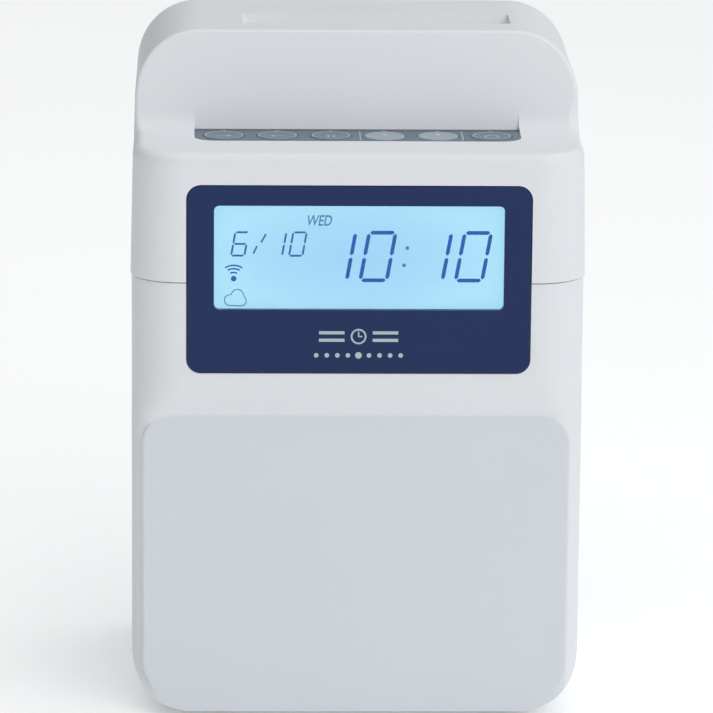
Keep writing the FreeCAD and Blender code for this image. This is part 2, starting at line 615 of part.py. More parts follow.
def lock_barrel():
    barrel = rod(LOCK_FACE_X, LOCK_Y, LOCK_Z, "x", CAM_X0 - LOCK_FACE_X, 6.0)
    tail = rod(CAM_X0, LOCK_Y, LOCK_Z, "x", CAM_X1 - CAM_X0 + 2.0, 2.5)
    keyway = block(LOCK_FACE_X - 1, LOCK_FACE_X + 5, LOCK_Y - 0.7, LOCK_Y + 0.7, LOCK_Z - 3.2, LOCK_Z + 3.2)
    return fuse_all([barrel, tail]).cut(keyway)


def lock_catch():
    """The bent steel catch that hangs from the cover, with the two rivets that hold it to its pad."""
    foot_top = LOCK_Z - 4.5
    plate = block(CATCH_X, CATCH_X + CATCH_THICK, CATCH_Y0, CATCH_Y1, foot_top - CATCH_THICK, CATCH_TOP_Z)
    foot = block(CATCH_X, -61.5, CATCH_Y0, CATCH_Y1, foot_top - CATCH_THICK, foot_top)
    rivet_z = (CATCH_PAD_Z + CATCH_TOP_Z) / 2
    heads = [rod(CATCH_X + CATCH_THICK, y, rivet_z, "x", 0.9, 2.3) for y in (CATCH_Y0 + 3.5, CATCH_Y1 - 3.5)]
    return fuse_all([plate, foot, *heads])


def lock_cam():
    """The cam that turns under the cover's catch, and the nut that holds it on the barrel's tail."""
    reach = 18.0
    arm = slab_yz(oblong(LOCK_Y - 3, LOCK_Y + 3, LOCK_Z - 3, LOCK_Z + reach, 2.9), CAM_X0, CAM_X1)
    collar = rod(CAM_X0, LOCK_Y, LOCK_Z, "x", CAM_X1 - CAM_X0, 4.5)
    nut = rod(CAM_X1, LOCK_Y, LOCK_Z, "x", 1.6, 4.2)
    return fuse_all([arm, collar, nut]).cut(rod(CAM_X0 - 1, LOCK_Y, LOCK_Z, "x", 6, 2.5))


# ---- frame and card chutes -------------------------------------------------------------------
def chassis():
    """Folded sheet steel: a base and two side plates, with the bearings' holes in them."""
    base = block(PLATE_LEFT_X, PLATE_RIGHT_X + PLATE, -20, 39, CHASSIS_Z, CHASSIS_Z + PLATE)
    side = [(-20, CHASSIS_Z, 0), (39, CHASSIS_Z, 0), (39, 150, 6), (34, 204, 6), (4, 204, 4), (4, 148.5, 0),
            (-40, 148.5, 3), (-40, 122, 3), (-20, 104, 3)]
    shapes = [base]
    for x in (PLATE_LEFT_X, PLATE_RIGHT_X):
        plate = slab_yz(side, x, x + PLATE)
        plate = plate.cut(slab_yz(oblong(-12, 6, 24, 96, 4), x - 1, x + PLATE + 1))
        shapes.append(plate)
    frame = fuse_all([*shapes, *idler_stud()])
    for y, z, radius in ((FEED_Y, LOWER_FEED_Z, 4.0), (FEED_Y, UPPER_FEED_Z, 4.0),
                         (PINCH_Y, LOWER_FEED_Z, 3.0), (PINCH_Y, UPPER_FEED_Z, 3.0),
                         (GUIDE_Y, GUIDE_Z, GUIDE_RADIUS)):
        frame = frame.cut(rod(-90, y, z, "x", 200, radius))
    pinion_y, pinion_z = pinion_centre()
    frame = frame.cut(rod(PLATE_LEFT_X - 1, pinion_y, pinion_z, "x", 4, 6.0))
    for x, y in CHASSIS_POSTS:
        frame = frame.cut(rod(x, y, CHASSIS_Z - 1, "z", 4, 1.7))
    return frame


def chassis_screws():
    screws = []
    for x, y in CHASSIS_POSTS:
        head = rod(x, y, CHASSIS_Z + PLATE, "z", 1.9, 3.0)
        head = head.cut(block(x - 2, x + 2, y - 0.35, y + 0.35, CHASSIS_Z + PLATE + 1, CHASSIS_Z + PLATE + 3))
        screws.append(head.fuse(rod(x, y, 6.0, "z", CHASSIS_Z + PLATE - 6.0, 1.5)).removeSplitter())
    return screws


def chute(z0, z1, gap_top):
    """A flat channel for the card between two heights, flared at its top."""
    half = THROAT_WIDTH / 2
    out_half = half + 1.5
    gap, wall = CHUTE_GAP / 2, CHUTE_WALL
    flare = 8.0
    outer = block(CARD_X - out_half, CARD_X + out_half, CARD_Y - gap - wall, CARD_Y + gap + wall,
                  z0, z1 - flare)
    inner = block(CARD_X - half, CARD_X + half, CARD_Y - gap, CARD_Y + gap, z0 - 1, z1 - flare)

    def ring(half_x, half_y, z):
        corners = oblong(CARD_X - half_x, CARD_X + half_x, CARD_Y - half_y, CARD_Y + half_y, 0)
        return rounded_wire(corners, in_xy(z))

    flare_rings = [ring(out_half, gap + wall, z1 - flare), ring(out_half, gap_top / 2 + wall, z1)]
    flare_outer = Part.makeLoft(flare_rings, True, True)
    flare_inner = Part.makeLoft([ring(half, gap, z1 - flare), ring(half, gap_top / 2, z1)], True, True)
    return outer.fuse(flare_outer).cut(inner).cut(flare_inner).removeSplitter()


def roller_windows(z):
    """The openings in a chute that a pair of feed rollers and their pinch rollers reach through."""
    reach = ROLLER_WIDTH / 2 + 1.0
    middles = (CARD_X - ROLLER_OFFSET, CARD_X + ROLLER_OFFSET)
    return [block(x - reach, x + reach, CARD_Y - 5, CARD_Y + 5, z - 7, z + 7) for x in middles]


def lower_card_chute():
    body = chute(17.0, 151.0, 4.4).cut(roller_windows(LOWER_FEED_Z))
    stop = block(CARD_X - 45.5, CARD_X + 45.5, CARD_Y - 2.3, CARD_Y + 2.3, 14.5, 17.0)
    feet = [block(CARD_X + s * 36 - 4, CARD_X + s * 36 + 4, CARD_Y - 2.3, CARD_Y + 8, CHASSIS_Z + PLATE, 14.5)
            for s in (-1, 1)]
    return fuse_all([body, stop, *feet])


def upper_card_chute():
    body = chute(171.5, 211.0, 6.0).cut(roller_windows(UPPER_FEED_Z))
    tabs = [block(PLATE_LEFT_X + PLATE, CARD_X - 45.0, CARD_Y + 0.5, CARD_Y + 2.3, 174, 200),
            block(CARD_X + 45.0, PLATE_RIGHT_X, CARD_Y + 0.5, CARD_Y + 2.3, 174, 200)]
    return fuse_all([body, *tabs])


def platen_bar():
    bar = block(CARD_X - 45, CARD_X + 45, CARD_Y + 1.4, CARD_Y + 7.5, 153.0, 168.0)
    tabs = [block(PLATE_LEFT_X + PLATE, CARD_X - 45, CARD_Y + 3.5, CARD_Y + 7.5, 156, 165),
            block(CARD_X + 45, PLATE_RIGHT_X, CARD_Y + 3.5, CARD_Y + 7.5, 156, 165)]
    return fuse_all([bar, *tabs])


# ---- card feed -------------------------------------------------------------------------------
def idler_centre():
    distance = MODULE * (FEED_TEETH + IDLER_TEETH) / 2 + MESH_SLACK
    angle = math.radians(-62.0)
    return FEED_Y + distance * math.cos(angle), LOWER_FEED_Z + distance * math.sin(angle)


def pinion_centre():
    y, z = idler_centre()
    return y, z - MODULE * (IDLER_TEETH + PINION_TEETH) / 2 - MESH_SLACK


def gear(teeth, centre_y, centre_z, phase, bore, hub=0.0):
    """A spur gear in the YZ plane with involute flanks; phase is the angle of one tooth's middle."""
    pitch_radius = MODULE * teeth / 2
    base_radius = pitch_radius * math.cos(math.radians(20))
    tip, root = pitch_radius + MODULE, pitch_radius - 1.25 * MODULE
    backlash = 0.10
    half_tooth = (math.pi * MODULE / 2 - backlash) / (2 * pitch_radius)
    pressure = math.tan(math.radians(20)) - math.radians(20)

    def half_angle(radius):
        """Half the angle that a tooth fills at a radius."""
        cosine = min(1.0, base_radius / max(radius, base_radius))
        roll = math.acos(cosine)
        return half_tooth + pressure - (math.tan(roll) - roll)

    steps = 4
    low = max(root, base_radius)
    radii = [low + (tip - low) * i / steps for i in range(steps + 1)]
    points = []
    for tooth in range(teeth):
        middle = phase + 2 * math.pi * tooth / teeth
        flank = [(root, -half_angle(low))] if root < low - 1e-6 else []
        flank += [(r, -half_angle(r)) for r in radii]
        flank += [(r, -turn) for r, turn in reversed(flank)]
        points += [Vector(GEAR_X, centre_y + r * math.cos(middle + turn),
                          centre_z + r * math.sin(middle + turn))
                   for r, turn in flank]
    wheel = Part.Face(Part.makePolygon(points + points[:1])).extrude(Vector(GEAR_WIDTH, 0, 0))
    if hub:
        wheel = wheel.fuse(rod(GEAR_X - 1.2, centre_y, centre_z, "x", GEAR_WIDTH + 1.8, hub))
    return wheel.cut(rod(GEAR_X - 3, centre_y, centre_z, "x", GEAR_WIDTH + 6, bore))


def meshed_phase(phase, teeth, other_teeth, angle):
    """The phase of a gear that meshes with another of known phase, seen at an angle from that one."""
    pitch, other_pitch = 2 * math.pi / teeth, 2 * math.pi / other_teeth
    lead = (angle - phase) / pitch
    return angle + math.pi + other_pitch * (0.5 + lead)


def gear_phases():
    (idler_y, idler_z), (pinion_y, pinion_z) = idler_centre(), pinion_centre()
    to_idler = math.atan2(idler_z - LOWER_FEED_Z, idler_y - FEED_Y)
    to_pinion = math.atan2(pinion_z - idler_z, pinion_y - idler_y)
    idler = meshed_phase(0.0, FEED_TEETH, IDLER_TEETH, to_idler)
    return idler, meshed_phase(idler, IDLER_TEETH, PINION_TEETH, to_pinion)


def lower_feed_gear():
    return gear(FEED_TEETH, FEED_Y, LOWER_FEED_Z, 0.0, SHAFT_RADIUS, hub=5.0)


def idler_gear():
    y, z = idler_centre()
    wheel = gear(IDLER_TEETH, y, z, gear_phases()[0], 2.0 + RUNNING, hub=5.0)
    for i in range(5):
        turn = 2 * math.pi * i / 5
        wheel = wheel.cut(rod(GEAR_X - 3, y + 10 * math.cos(turn), z + 10 * math.sin(turn), "x", 10, 3.0))
    return wheel


def idler_stud():
    """The fixed stud that the idler gear runs on, riveted in the left side plate."""
    y, z = idler_centre()
    stud = rod(GEAR_X - 1.6, y, z, "x", PLATE_LEFT_X - GEAR_X + 1.6, 2.0)
    cap = rod(GEAR_X - 2.4, y, z, "x", 0.8, 3.2)
    collar = rod(PLATE_LEFT_X - 0.7, y, z, "x", 0.7, 3.5)
    return [stud, cap, collar]


def feed_pinion():
    """The motor's pinion on the motor's shaft."""
    y, z = pinion_centre()
    pinion = gear(PINION_TEETH, y, z, gear_phases()[1], 1.5)
    return fuse_all([pinion, rod(GEAR_X - 1.5, y, z, "x", 12.0, 1.5)])


def feed_motor():
    y, z = pinion_centre()
    x = PLATE_LEFT_X + PLATE
    can = filleted(rod(x, y, z, "x", 20.0, 17.0), 1.2, lambda e: e.BoundBox.XMin > x + 19)
    ears = slab_yz(oblong(y - 5, y + 5, z - 24, z + 24, 4.9), x, x + 1)
    lead = block(x + 14, x + 19, y - 4, y + 4, z - 19.5, z - 16)
    motor = fuse_all([can, ears, lead]).cut(rod(x - 1, y, z, "x", 9, 2.4))
    return motor.cut([rod(x - 1, y, z + s * 20.5, "x", 4, 1.6) for s in (-1, 1)])


def feed_shaft(z):
    return rod(GEAR_X - 1.5, FEED_Y, z, "x", BELT_X + BELT_WIDTH + 0.6 - GEAR_X + 1.5, SHAFT_RADIUS)


def rollers(y, z, radius, bore):
    """Two rollers on a shaft, each with lightly rounded edges."""
    pair = []
    for s in (-1, 1):
        start = CARD_X + s * ROLLER_OFFSET - ROLLER_WIDTH / 2
        roller = filleted(rod(start, y, z, "x", ROLLER_WIDTH, radius), 0.6, lambda e: True)
        pair.append(roller.cut(rod(start - 1, y, z, "x", ROLLER_WIDTH + 2, bore)))
    return Part.makeCompound(pair)


def feed_pulley(z):
    """A toothed belt's wheel: a toothed drum between two thin flanges."""
    drum = rod(BELT_X, FEED_Y, z, "x", BELT_WIDTH, PULLEY_RADIUS)
    for i in range(16):
        turn = 2 * math.pi * (i + 0.5) / 16
        drum = drum.cut(rod(BELT_X - 1, FEED_Y + PULLEY_RADIUS * math.cos(turn),
                            z + PULLEY_RADIUS * math.sin(turn), "x", 6, 0.6))
    flange = rod(BELT_X - 0.6, FEED_Y, z, "x", 0.5, PULLEY_RADIUS + 1.6)
    hub = rod(BELT_X - 0.6, FEED_Y, z, "x", BELT_WIDTH + 0.6, 4.0)
    return fuse_all([drum, flange, hub]).cut(rod(BELT_X - 3, FEED_Y, z, "x", 12, SHAFT_RADIUS))


def racetrack(u0, v0, u1, v1, radius, place, offset):
    """The outline of a belt round two equal wheels, this far outside them."""
    reach = radius + offset
    along = Vector(u1 - u0, v1 - v0, 0).normalize()
    side = Vector(-along.y, along.x, 0) * reach
    ends = along * reach
    a, b = Vector(u0, v0, 0), Vector(u1, v1, 0)
    spots = [a + side, a - ends, a - side, b - side, b + ends, b + side]
    p = [place(s.x, s.y) for s in spots]
    return Part.Wire([Part.Arc(p[0], p[1], p[2]).toShape(), Part.makeLine(p[2], p[3]),
                      Part.Arc(p[3], p[4], p[5]).toShape(), Part.makeLine(p[5], p[0])])


def feed_belt():
    low = (FEED_Y, LOWER_FEED_Z, FEED_Y, UPPER_FEED_Z, PULLEY_RADIUS, in_yz(BELT_X + 0.3))
    outer = Part.Face(racetrack(*low, 0.3 + BELT_THICK)).extrude(Vector(BELT_WIDTH - 0.6, 0, 0))
    inner = Part.Face(racetrack(*low, 0.3)).extrude(Vector(BELT_WIDTH - 0.6, 0, 0))
    return outer.cut(inner)


def shaft_bushes():
    """Flanged bushes for the two feed shafts and plain ones for the pinch shafts."""
    bushes = []
    for z in (LOWER_FEED_Z, UPPER_FEED_Z):
        for x, flange_x in ((PLATE_LEFT_X, PLATE_LEFT_X + PLATE), (PLATE_RIGHT_X, PLATE_RIGHT_X - 1.0)):
            sleeve = rod(x, FEED_Y, z, "x", PLATE, 4.0)
            flange = rod(flange_x, FEED_Y, z, "x", 1.0, 5.5)
            bore = rod(x - 5, FEED_Y, z, "x", 12, SHAFT_RADIUS + RUNNING)
            bushes.append(fuse_all([sleeve, flange]).cut(bore))
            bushes.append(tube(x, PINCH_Y, z, "x", PLATE, 3.0, PINCH_SHAFT_RADIUS + RUNNING))
    return Part.makeCompound(bushes)


def pinch_shaft(z):
    length = PLATE_RIGHT_X + PLATE - PLATE_LEFT_X + 3.0
    return rod(PLATE_LEFT_X - 1.5, PINCH_Y, z, "x", length, PINCH_SHAFT_RADIUS)


def pinch_assembly(z):
    """A steel shaft with its two pinch rollers."""
    pair = rollers(PINCH_Y, z, PINCH_RADIUS, PINCH_SHAFT_RADIUS)
    return Part.makeCompound([*pair.Solids, pinch_shaft(z)])


# ---- print carriage and ribbon ---------------------------------------------------------------
def carriage_guide_shaft():
    length = PLATE_RIGHT_X + PLATE - PLATE_LEFT_X + 2.0
    return rod(PLATE_LEFT_X - 1.0, GUIDE_Y, GUIDE_Z, "x", length, GUIDE_RADIUS)


def carriage():
    """The block that slides on the guide shaft and holds a run of the belt in its slot."""
    body = block(CARD_X - 12, CARD_X + 12, -20.5, -2, 136.5, 148.0)
    clamp = block(CARD_X - 7, CARD_X + 7, -22.6, -17.0, 129.0, 140.0)
    seat = block(CARD_X - 12, CARD_X + 12, -20.5, 2.0, 146.0, 148.0)
    run_y = CARRIAGE_PULLEY_Y + PULLEY_RADIUS
    slot = block(CARD_X - 20, CARD_X + 20, run_y - 0.1, run_y + BELT_THICK + 0.7, CARRIAGE_PULLEY_Z - 0.3,
                 CARRIAGE_PULLEY_Z + 5.3)
    body = fuse_all([body, clamp, seat])
    return body.cut(rod(-90, GUIDE_Y, GUIDE_Z, "x", 180, GUIDE_RADIUS + RUNNING)).cut(slot)


def print_head():
    """A finned dot-matrix head with its nose towards the card."""
    core = block(CARD_X - 11, CARD_X + 11, -20, -1, 148.0, 150.0)
    drum = rod(CARD_X, -20, PRINT_Z, "y", 17.0, 9.5)
    fins = [rod(CARD_X, -19 + 2.6 * i, PRINT_Z, "y", 1.3, 11.0) for i in range(5)]
    nose = Part.makeLoft([
        rounded_wire(oblong(CARD_X - 8, CARD_X + 8, PRINT_Z - 8, PRINT_Z + 8, 2), in_xz(-3)),
        rounded_wire(oblong(CARD_X - 2, CARD_X + 2, PRINT_Z - 4, PRINT_Z + 4, 0.8), in_xz(9.6)),
    ], True, True)
    tip = block(CARD_X - 1.5, CARD_X + 1.5, 9.6, 10.9, PRINT_Z - 3.5, PRINT_Z + 3.5)
    return fuse_all([core, drum, *fins, nose, tip])


def carriage_pulley(x):
    drum = rod(x, CARRIAGE_PULLEY_Y, CARRIAGE_PULLEY_Z, "z", 5.0, PULLEY_RADIUS)
    for i in range(16):
        turn = 2 * math.pi * (i + 0.5) / 16
        groove_x = x + PULLEY_RADIUS * math.cos(turn)
        groove_y = CARRIAGE_PULLEY_Y + PULLEY_RADIUS * math.sin(turn)
        drum = drum.cut(rod(groove_x, groove_y, CARRIAGE_PULLEY_Z - 1, "z", 7, 0.6))
    low = rod(x, CARRIAGE_PULLEY_Y, CARRIAGE_PULLEY_Z - 0.9, "z", 0.8, PULLEY_RADIUS + 1.6)
    hub = rod(x, CARRIAGE_PULLEY_Y, CARRIAGE_PULLEY_Z - 0.9, "z", 6.4, 3.4)
    bore = rod(x, CARRIAGE_PULLEY_Y, CARRIAGE_PULLEY_Z - 5, "z", 15, 1.5 + RUNNING)
    return fuse_all([drum, low, hub]).cut(bore)


def carriage_belt():
    left, right = CARRIAGE_PULLEY_XS
    line = (left, CARRIAGE_PULLEY_Y, right, CARRIAGE_PULLEY_Y, PULLEY_RADIUS, in_xy(CARRIAGE_PULLEY_Z + 0.2))
    outer = Part.Face(racetrack(*line, 0.3 + BELT_THICK)).extrude(Vector(0, 0, 4.6))
    inner = Part.Face(racetrack(*line, 0.3)).extrude(Vector(0, 0, 4.6))
    return outer.cut(inner)


def carriage_drive_bridge():
    """The plate under the carriage belt: it carries the motor and both pulley studs."""
    left, right = CARRIAGE_PULLEY_XS
    plate = block(PLATE_LEFT_X + PLATE, PLATE_RIGHT_X, -39.0, -18.5, 125.5, 127.5)
    ends = [block(PLATE_LEFT_X + PLATE, PLATE_LEFT_X + PLATE + 1.5, -39, -18.5, 118, 127.5),
            block(PLATE_RIGHT_X - 1.5, PLATE_RIGHT_X, -39, -18.5, 118, 127.5)]
    studs = [rod(x, CARRIAGE_PULLEY_Y, 127.5, "z", 11.0, 1.5) for x in (left, right)]
    collars = [rod(x, CARRIAGE_PULLEY_Y, 127.5, "z", 3.3, 2.6) for x in (left, right)]
    return fuse_all([plate, *ends, *studs, *collars])


def carriage_motor():
    x = CARRIAGE_PULLEY_XS[0] + 13.0
    y = CARRIAGE_PULLEY_Y
    can = filleted(rod(x, y, 105.0, "z", 20.5, 12.5), 1.0, lambda e: e.BoundBox.ZMax < 106)
    ears = slab_xy(oblong(x - 17, x + 17, y - 4, y + 4, 3.9), 124.5, 125.5)
    return fuse_all([can, ears])


def ribbon_cassette():
    """The ribbon's U-shaped case: a box across the front, and an arm each side of the print line."""
    low, high = CASSETTE_LOW_Z, CASSETTE_HIGH_Z
    box = slab_xy([(-48, -44, 4), (62, -44, 4), (62, -24, 1), (-48, -24, 1)], low, high)
    arms = [block(x, x + 8.5, -30, 9.0, low + 1.5, high - 1.5) for x in (-48.0, 53.5)]
    case = fuse_all([box, *arms])
    case = filleted(case, 0.8, lambda e: abs(e.BoundBox.ZMin - high) < 0.01 and e.BoundBox.ZLength < 0.01)
    hollow = block(-46.5, 60.5, -42.3, -25.5, low + 1.5, high - 1.5)
    case = case.cut(hollow)
    case = case.cut([block(-41.2, -40.4, -30, 12, 154, 166.0), block(54.4, 55.2, -30, 12, 154, 166.0)])
    return case.cut(rod(-30, -34, high - 3, "z", 8, 3.1))


def ink_ribbon():
    """The inked ribbon: a band across the print line that turns back into both arms."""
    half, thick, span_y = 0.1, 0.2, 11.2
    low, high = 154.4, 165.6
    span = block(-40.8 - half, 54.8 + half, span_y, span_y + thick, low, high)
    ends = [block(x - half, x + half, -24.0, span_y + thick, low, high) for x in (-40.8, 54.8)]
    rolls = [tube(-30, -34, low, "z", high - low, 6.5, 3.6), tube(40, -34, low, "z", high - low, 7.0, 3.6)]
    return Part.makeCompound([fuse_all([span, *ends]), *rolls])


def ribbon_knob():
    x, y, z = -30, -34, CASSETTE_HIGH_Z
    cap = rod(x, y, z + 0.4, "z", 4.6, 7.0)
    cap = filleted(cap, 0.6, lambda e: e.BoundBox.ZMin > z + 4)
    for i in range(18):
        turn = 2 * math.pi * i / 18
        cap = cap.cut(rod(x + 7.2 * math.cos(turn), y + 7.2 * math.sin(turn), z, "z", 8, 0.7))
    spindle = rod(x, y, CASSETTE_LOW_Z + 2.0, "z", z + 1 - CASSETTE_LOW_Z - 2.0, 3.0)
    return fuse_all([cap, spindle])


# ---- electronics -----------------------------------------------------------------------------
def main_board():
    return block(-58, 62, BOARD_Y, BOARD_Y + BOARD_THICK, 13.0, 66.0)


def main_board_parts():
    """Chips, capacitors and sockets on the main board's rear side."""
    face = BOARD_Y + BOARD_THICK
    chips = [block(-6, 12, face, face + 2.2, 40, 58), block(24, 36, face, face + 1.8, 44, 52),
             block(-34, -22, face, face + 1.8, 40, 50)]
    cans = [rod(-48, face, z, "y", 9.0, 4.0) for z in (46, 57)] + [rod(50, face, 34, "y", 8.0, 3.0)]
    sockets = [block(-36, -20, face, face + 6.0, 55, 61), block(44, 58, face, face + 6.0, 50, 56)]
    return Part.makeCompound(chips + cans + sockets)


def dc_jack():
    face, mouth = BOARD_Y + BOARD_THICK, REAR - 0.8
    body = block(DC_X - 4.7, DC_X + 4.7, face, mouth, PORT_Z - 4.7, PORT_Z + 4.7)
    body = body.cut(rod(DC_X, mouth - 9.5, PORT_Z, "y", 12, 3.15))
    return body.fuse(rod(DC_X, mouth - 9.5, PORT_Z, "y", 8.5, 1.0)).removeSplitter()


def lan_jack():
    face, mouth = BOARD_Y + BOARD_THICK, REAR - 0.8
    body = block(LAN_X - 7.8, LAN_X + 7.8, face, mouth, PORT_Z - 6.8, PORT_Z + 6.8)
    body = body.cut(block(LAN_X - 5.9, LAN_X + 5.9, mouth - 11.5, mouth + 2, PORT_Z - 3.6, PORT_Z + 4.6))
    body = body.cut(block(LAN_X - 3.2, LAN_X + 3.2, mouth - 11.5, mouth + 2, PORT_Z - 5.4, PORT_Z - 3.5))
    return body.cut(block(LAN_X - 1.7, LAN_X + 1.7, mouth - 11.5, mouth + 2, PORT_Z - 6.1, PORT_Z - 5.3))


def usb_jack():
    face, mouth = BOARD_Y + BOARD_THICK, REAR - 0.8
    body = block(USB_X - 6.8, USB_X + 6.8, face, mouth, PORT_Z - 3.1, PORT_Z + 3.1)
    body = body.cut(block(USB_X - 6.3, USB_X + 6.3, mouth - 11, mouth + 2, PORT_Z - 2.4, PORT_Z + 2.4))
    tongue = block(USB_X - 5.5, USB_X + 5.5, mouth - 11, mouth - 1, PORT_Z + 0.2, PORT_Z + 2.0)
    return body.fuse(tongue).removeSplitter()


def backup_battery():
    """Three round cells in a shrink sleeve, on the floor of the case."""
    cells = [rod(-20, y, 14.7, "x", 44, 7.2) for y in (-46.0 + 4.0, -28.5, -35.25)]
    return fuse_all(cells)


def card_sensors():
    """The optical card sensors, one on each side of the lower chute's mouth."""
    return Part.makeCompound([block(CARD_X + s * 12 - 3, CARD_X + s * 12 + 3, CARD_Y + 2.35, CARD_Y + 6.0,
                                    120.0, 126.0) for s in (-1, 1)])


PARTS = {
    "lower_case": lower_case,
    "rear_case": rear_case,
    "case_screws": lambda: Part.makeCompound(rear_case_screws() + chassis_screws()),
    "rubber_feet": rubber_feet,
    "top_cover": top_cover,
    "cover_hinge_pins": cover_hinge_pins,
    "key_sheet": key_sheet,
    "key_board": key_board,
    "key_switches": key_switches,
    "display_bezel": display_bezel,
    "display_lens": display_lens,
    "lcd_panel": lcd_panel,
    "display_holder": display_holder,
    "display_board": display_board,
    "display_board_parts": display_board_parts,
    "lock_sleeve": lock_sleeve,
    "lock_barrel": lock_barrel,
    "lock_cam": lock_cam,
    "lock_catch": lock_catch,
    "chassis": chassis,
    "lower_card_chute": lower_card_chute,
    "upper_card_chute": upper_card_chute,
    "card_sensors": card_sensors,
    "platen_bar": platen_bar,
    "feed_motor": feed_motor,
    "feed_pinion": feed_pinion,
    "idler_gear": idler_gear,
    "lower_feed_gear": lower_feed_gear,
    "lower_feed_shaft": lambda: feed_shaft(LOWER_FEED_Z),
    "upper_feed_shaft": lambda: feed_shaft(UPPER_FEED_Z),
    "lower_feed_rollers": lambda: rollers(FEED_Y, LOWER_FEED_Z, FEED_RADIUS, SHAFT_RADIUS),
    "upper_feed_rollers": lambda: rollers(FEED_Y, UPPER_FEED_Z, FEED_RADIUS, SHAFT_RADIUS),
    "lower_feed_pulley": lambda: feed_pulley(LOWER_FEED_Z),
    "upper_feed_pulley": lambda: feed_pulley(UPPER_FEED_Z),
    "feed_belt": feed_belt,
    "shaft_bushes": shaft_bushes,
    "lower_pinch_rollers": lambda: pinch_assembly(LOWER_FEED_Z),
    "upper_pinch_rollers": lambda: pinch_assembly(UPPER_FEED_Z),
    "carriage_guide_shaft": carriage_guide_shaft,
    "carriage": carriage,
    "print_head": print_head,
    "carriage_drive_bridge": carriage_drive_bridge,
    "carriage_motor": carriage_motor,
    "carriage_drive_pulley": lambda: carriage_pulley(CARRIAGE_PULLEY_XS[0]),
    "carriage_idler_pulley": lambda: carriage_pulley(CARRIAGE_PULLEY_XS[1]),
    "carriage_belt": carriage_belt,
    "ribbon_cassette": ribbon_cassette,
    "ink_ribbon": ink_ribbon,
    "ribbon_knob": ribbon_knob,
    "main_board": main_board,
    "main_board_parts": main_board_parts,
    "dc_jack": dc_jack,
    "data_jacks": lambda: Part.makeCompound([lan_jack(), usb_jack()]),
    "backup_battery": backup_battery,
}


def main():
    os.makedirs("parts", exist_ok=True)
    for name, make in PARTS.items():
        shape = make()
        shape.exportStep(f"parts/{name}.step")
        print(f"{name:24s} {len(shape.Solids)} solids  {shape.Volume:10.1f} mm3  valid={shape.isValid()}")
    for number, x in enumerate(key_places(), 1):
        key_button(x).exportStep(f"parts/key_button_{number}.step")


main()
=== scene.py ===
import json
import math

import bmesh
import bpy
from mathutils import Euler, Matrix, Vector

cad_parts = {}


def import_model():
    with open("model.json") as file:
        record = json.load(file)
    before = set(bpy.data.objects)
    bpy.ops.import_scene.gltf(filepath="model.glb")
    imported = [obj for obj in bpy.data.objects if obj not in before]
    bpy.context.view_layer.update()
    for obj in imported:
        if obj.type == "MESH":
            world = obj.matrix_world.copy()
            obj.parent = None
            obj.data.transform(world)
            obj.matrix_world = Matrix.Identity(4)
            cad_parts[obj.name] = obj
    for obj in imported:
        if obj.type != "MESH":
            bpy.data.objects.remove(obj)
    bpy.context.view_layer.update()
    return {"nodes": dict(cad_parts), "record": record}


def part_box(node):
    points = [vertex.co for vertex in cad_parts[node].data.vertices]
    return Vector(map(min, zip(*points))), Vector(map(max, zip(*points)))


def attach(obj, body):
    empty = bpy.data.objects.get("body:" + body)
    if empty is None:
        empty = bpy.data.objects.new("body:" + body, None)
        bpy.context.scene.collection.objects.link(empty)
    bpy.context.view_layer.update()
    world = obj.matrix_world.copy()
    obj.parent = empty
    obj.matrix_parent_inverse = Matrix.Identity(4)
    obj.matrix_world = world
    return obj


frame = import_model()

MM = 0.001


# ---- materials -------------------------------------------------------------------------------
def shade(r, g, b):
    """A linear colour from 8-bit display values."""
    def linear(value):
        value /= 255
        return value / 12.92 if value <= 0.04045 else ((value + 0.055) / 1.055) ** 2.4

    return linear(r), linear(g), linear(b), 1.0


def scaled(colour, factor):
    """The colour made lighter or darker by a factor."""
    return tuple(min(1.0, c * factor) for c in colour[:3]) + (1.0,)


CASE = shade(222, 225, 228)
# Painted shade: the first darkens the lower panel's face, the second paints a shadow along the key film's
# rear edge.
PANEL_PAINTED_SHADE = (0.885, 0.905, 0.93, 1.0)      # these two multiply the colour under them
FILM_PAINTED_SHADOW = (0.42, 0.46, 0.52, 1.0)
LCD_MIDDLE = shade(154, 210, 244)
LCD_EDGE = shade(168, 226, 249)
LCD_GLOW = 0.9
LCD_UNLIT = 0.12                            # how much of its colour the display keeps unlit


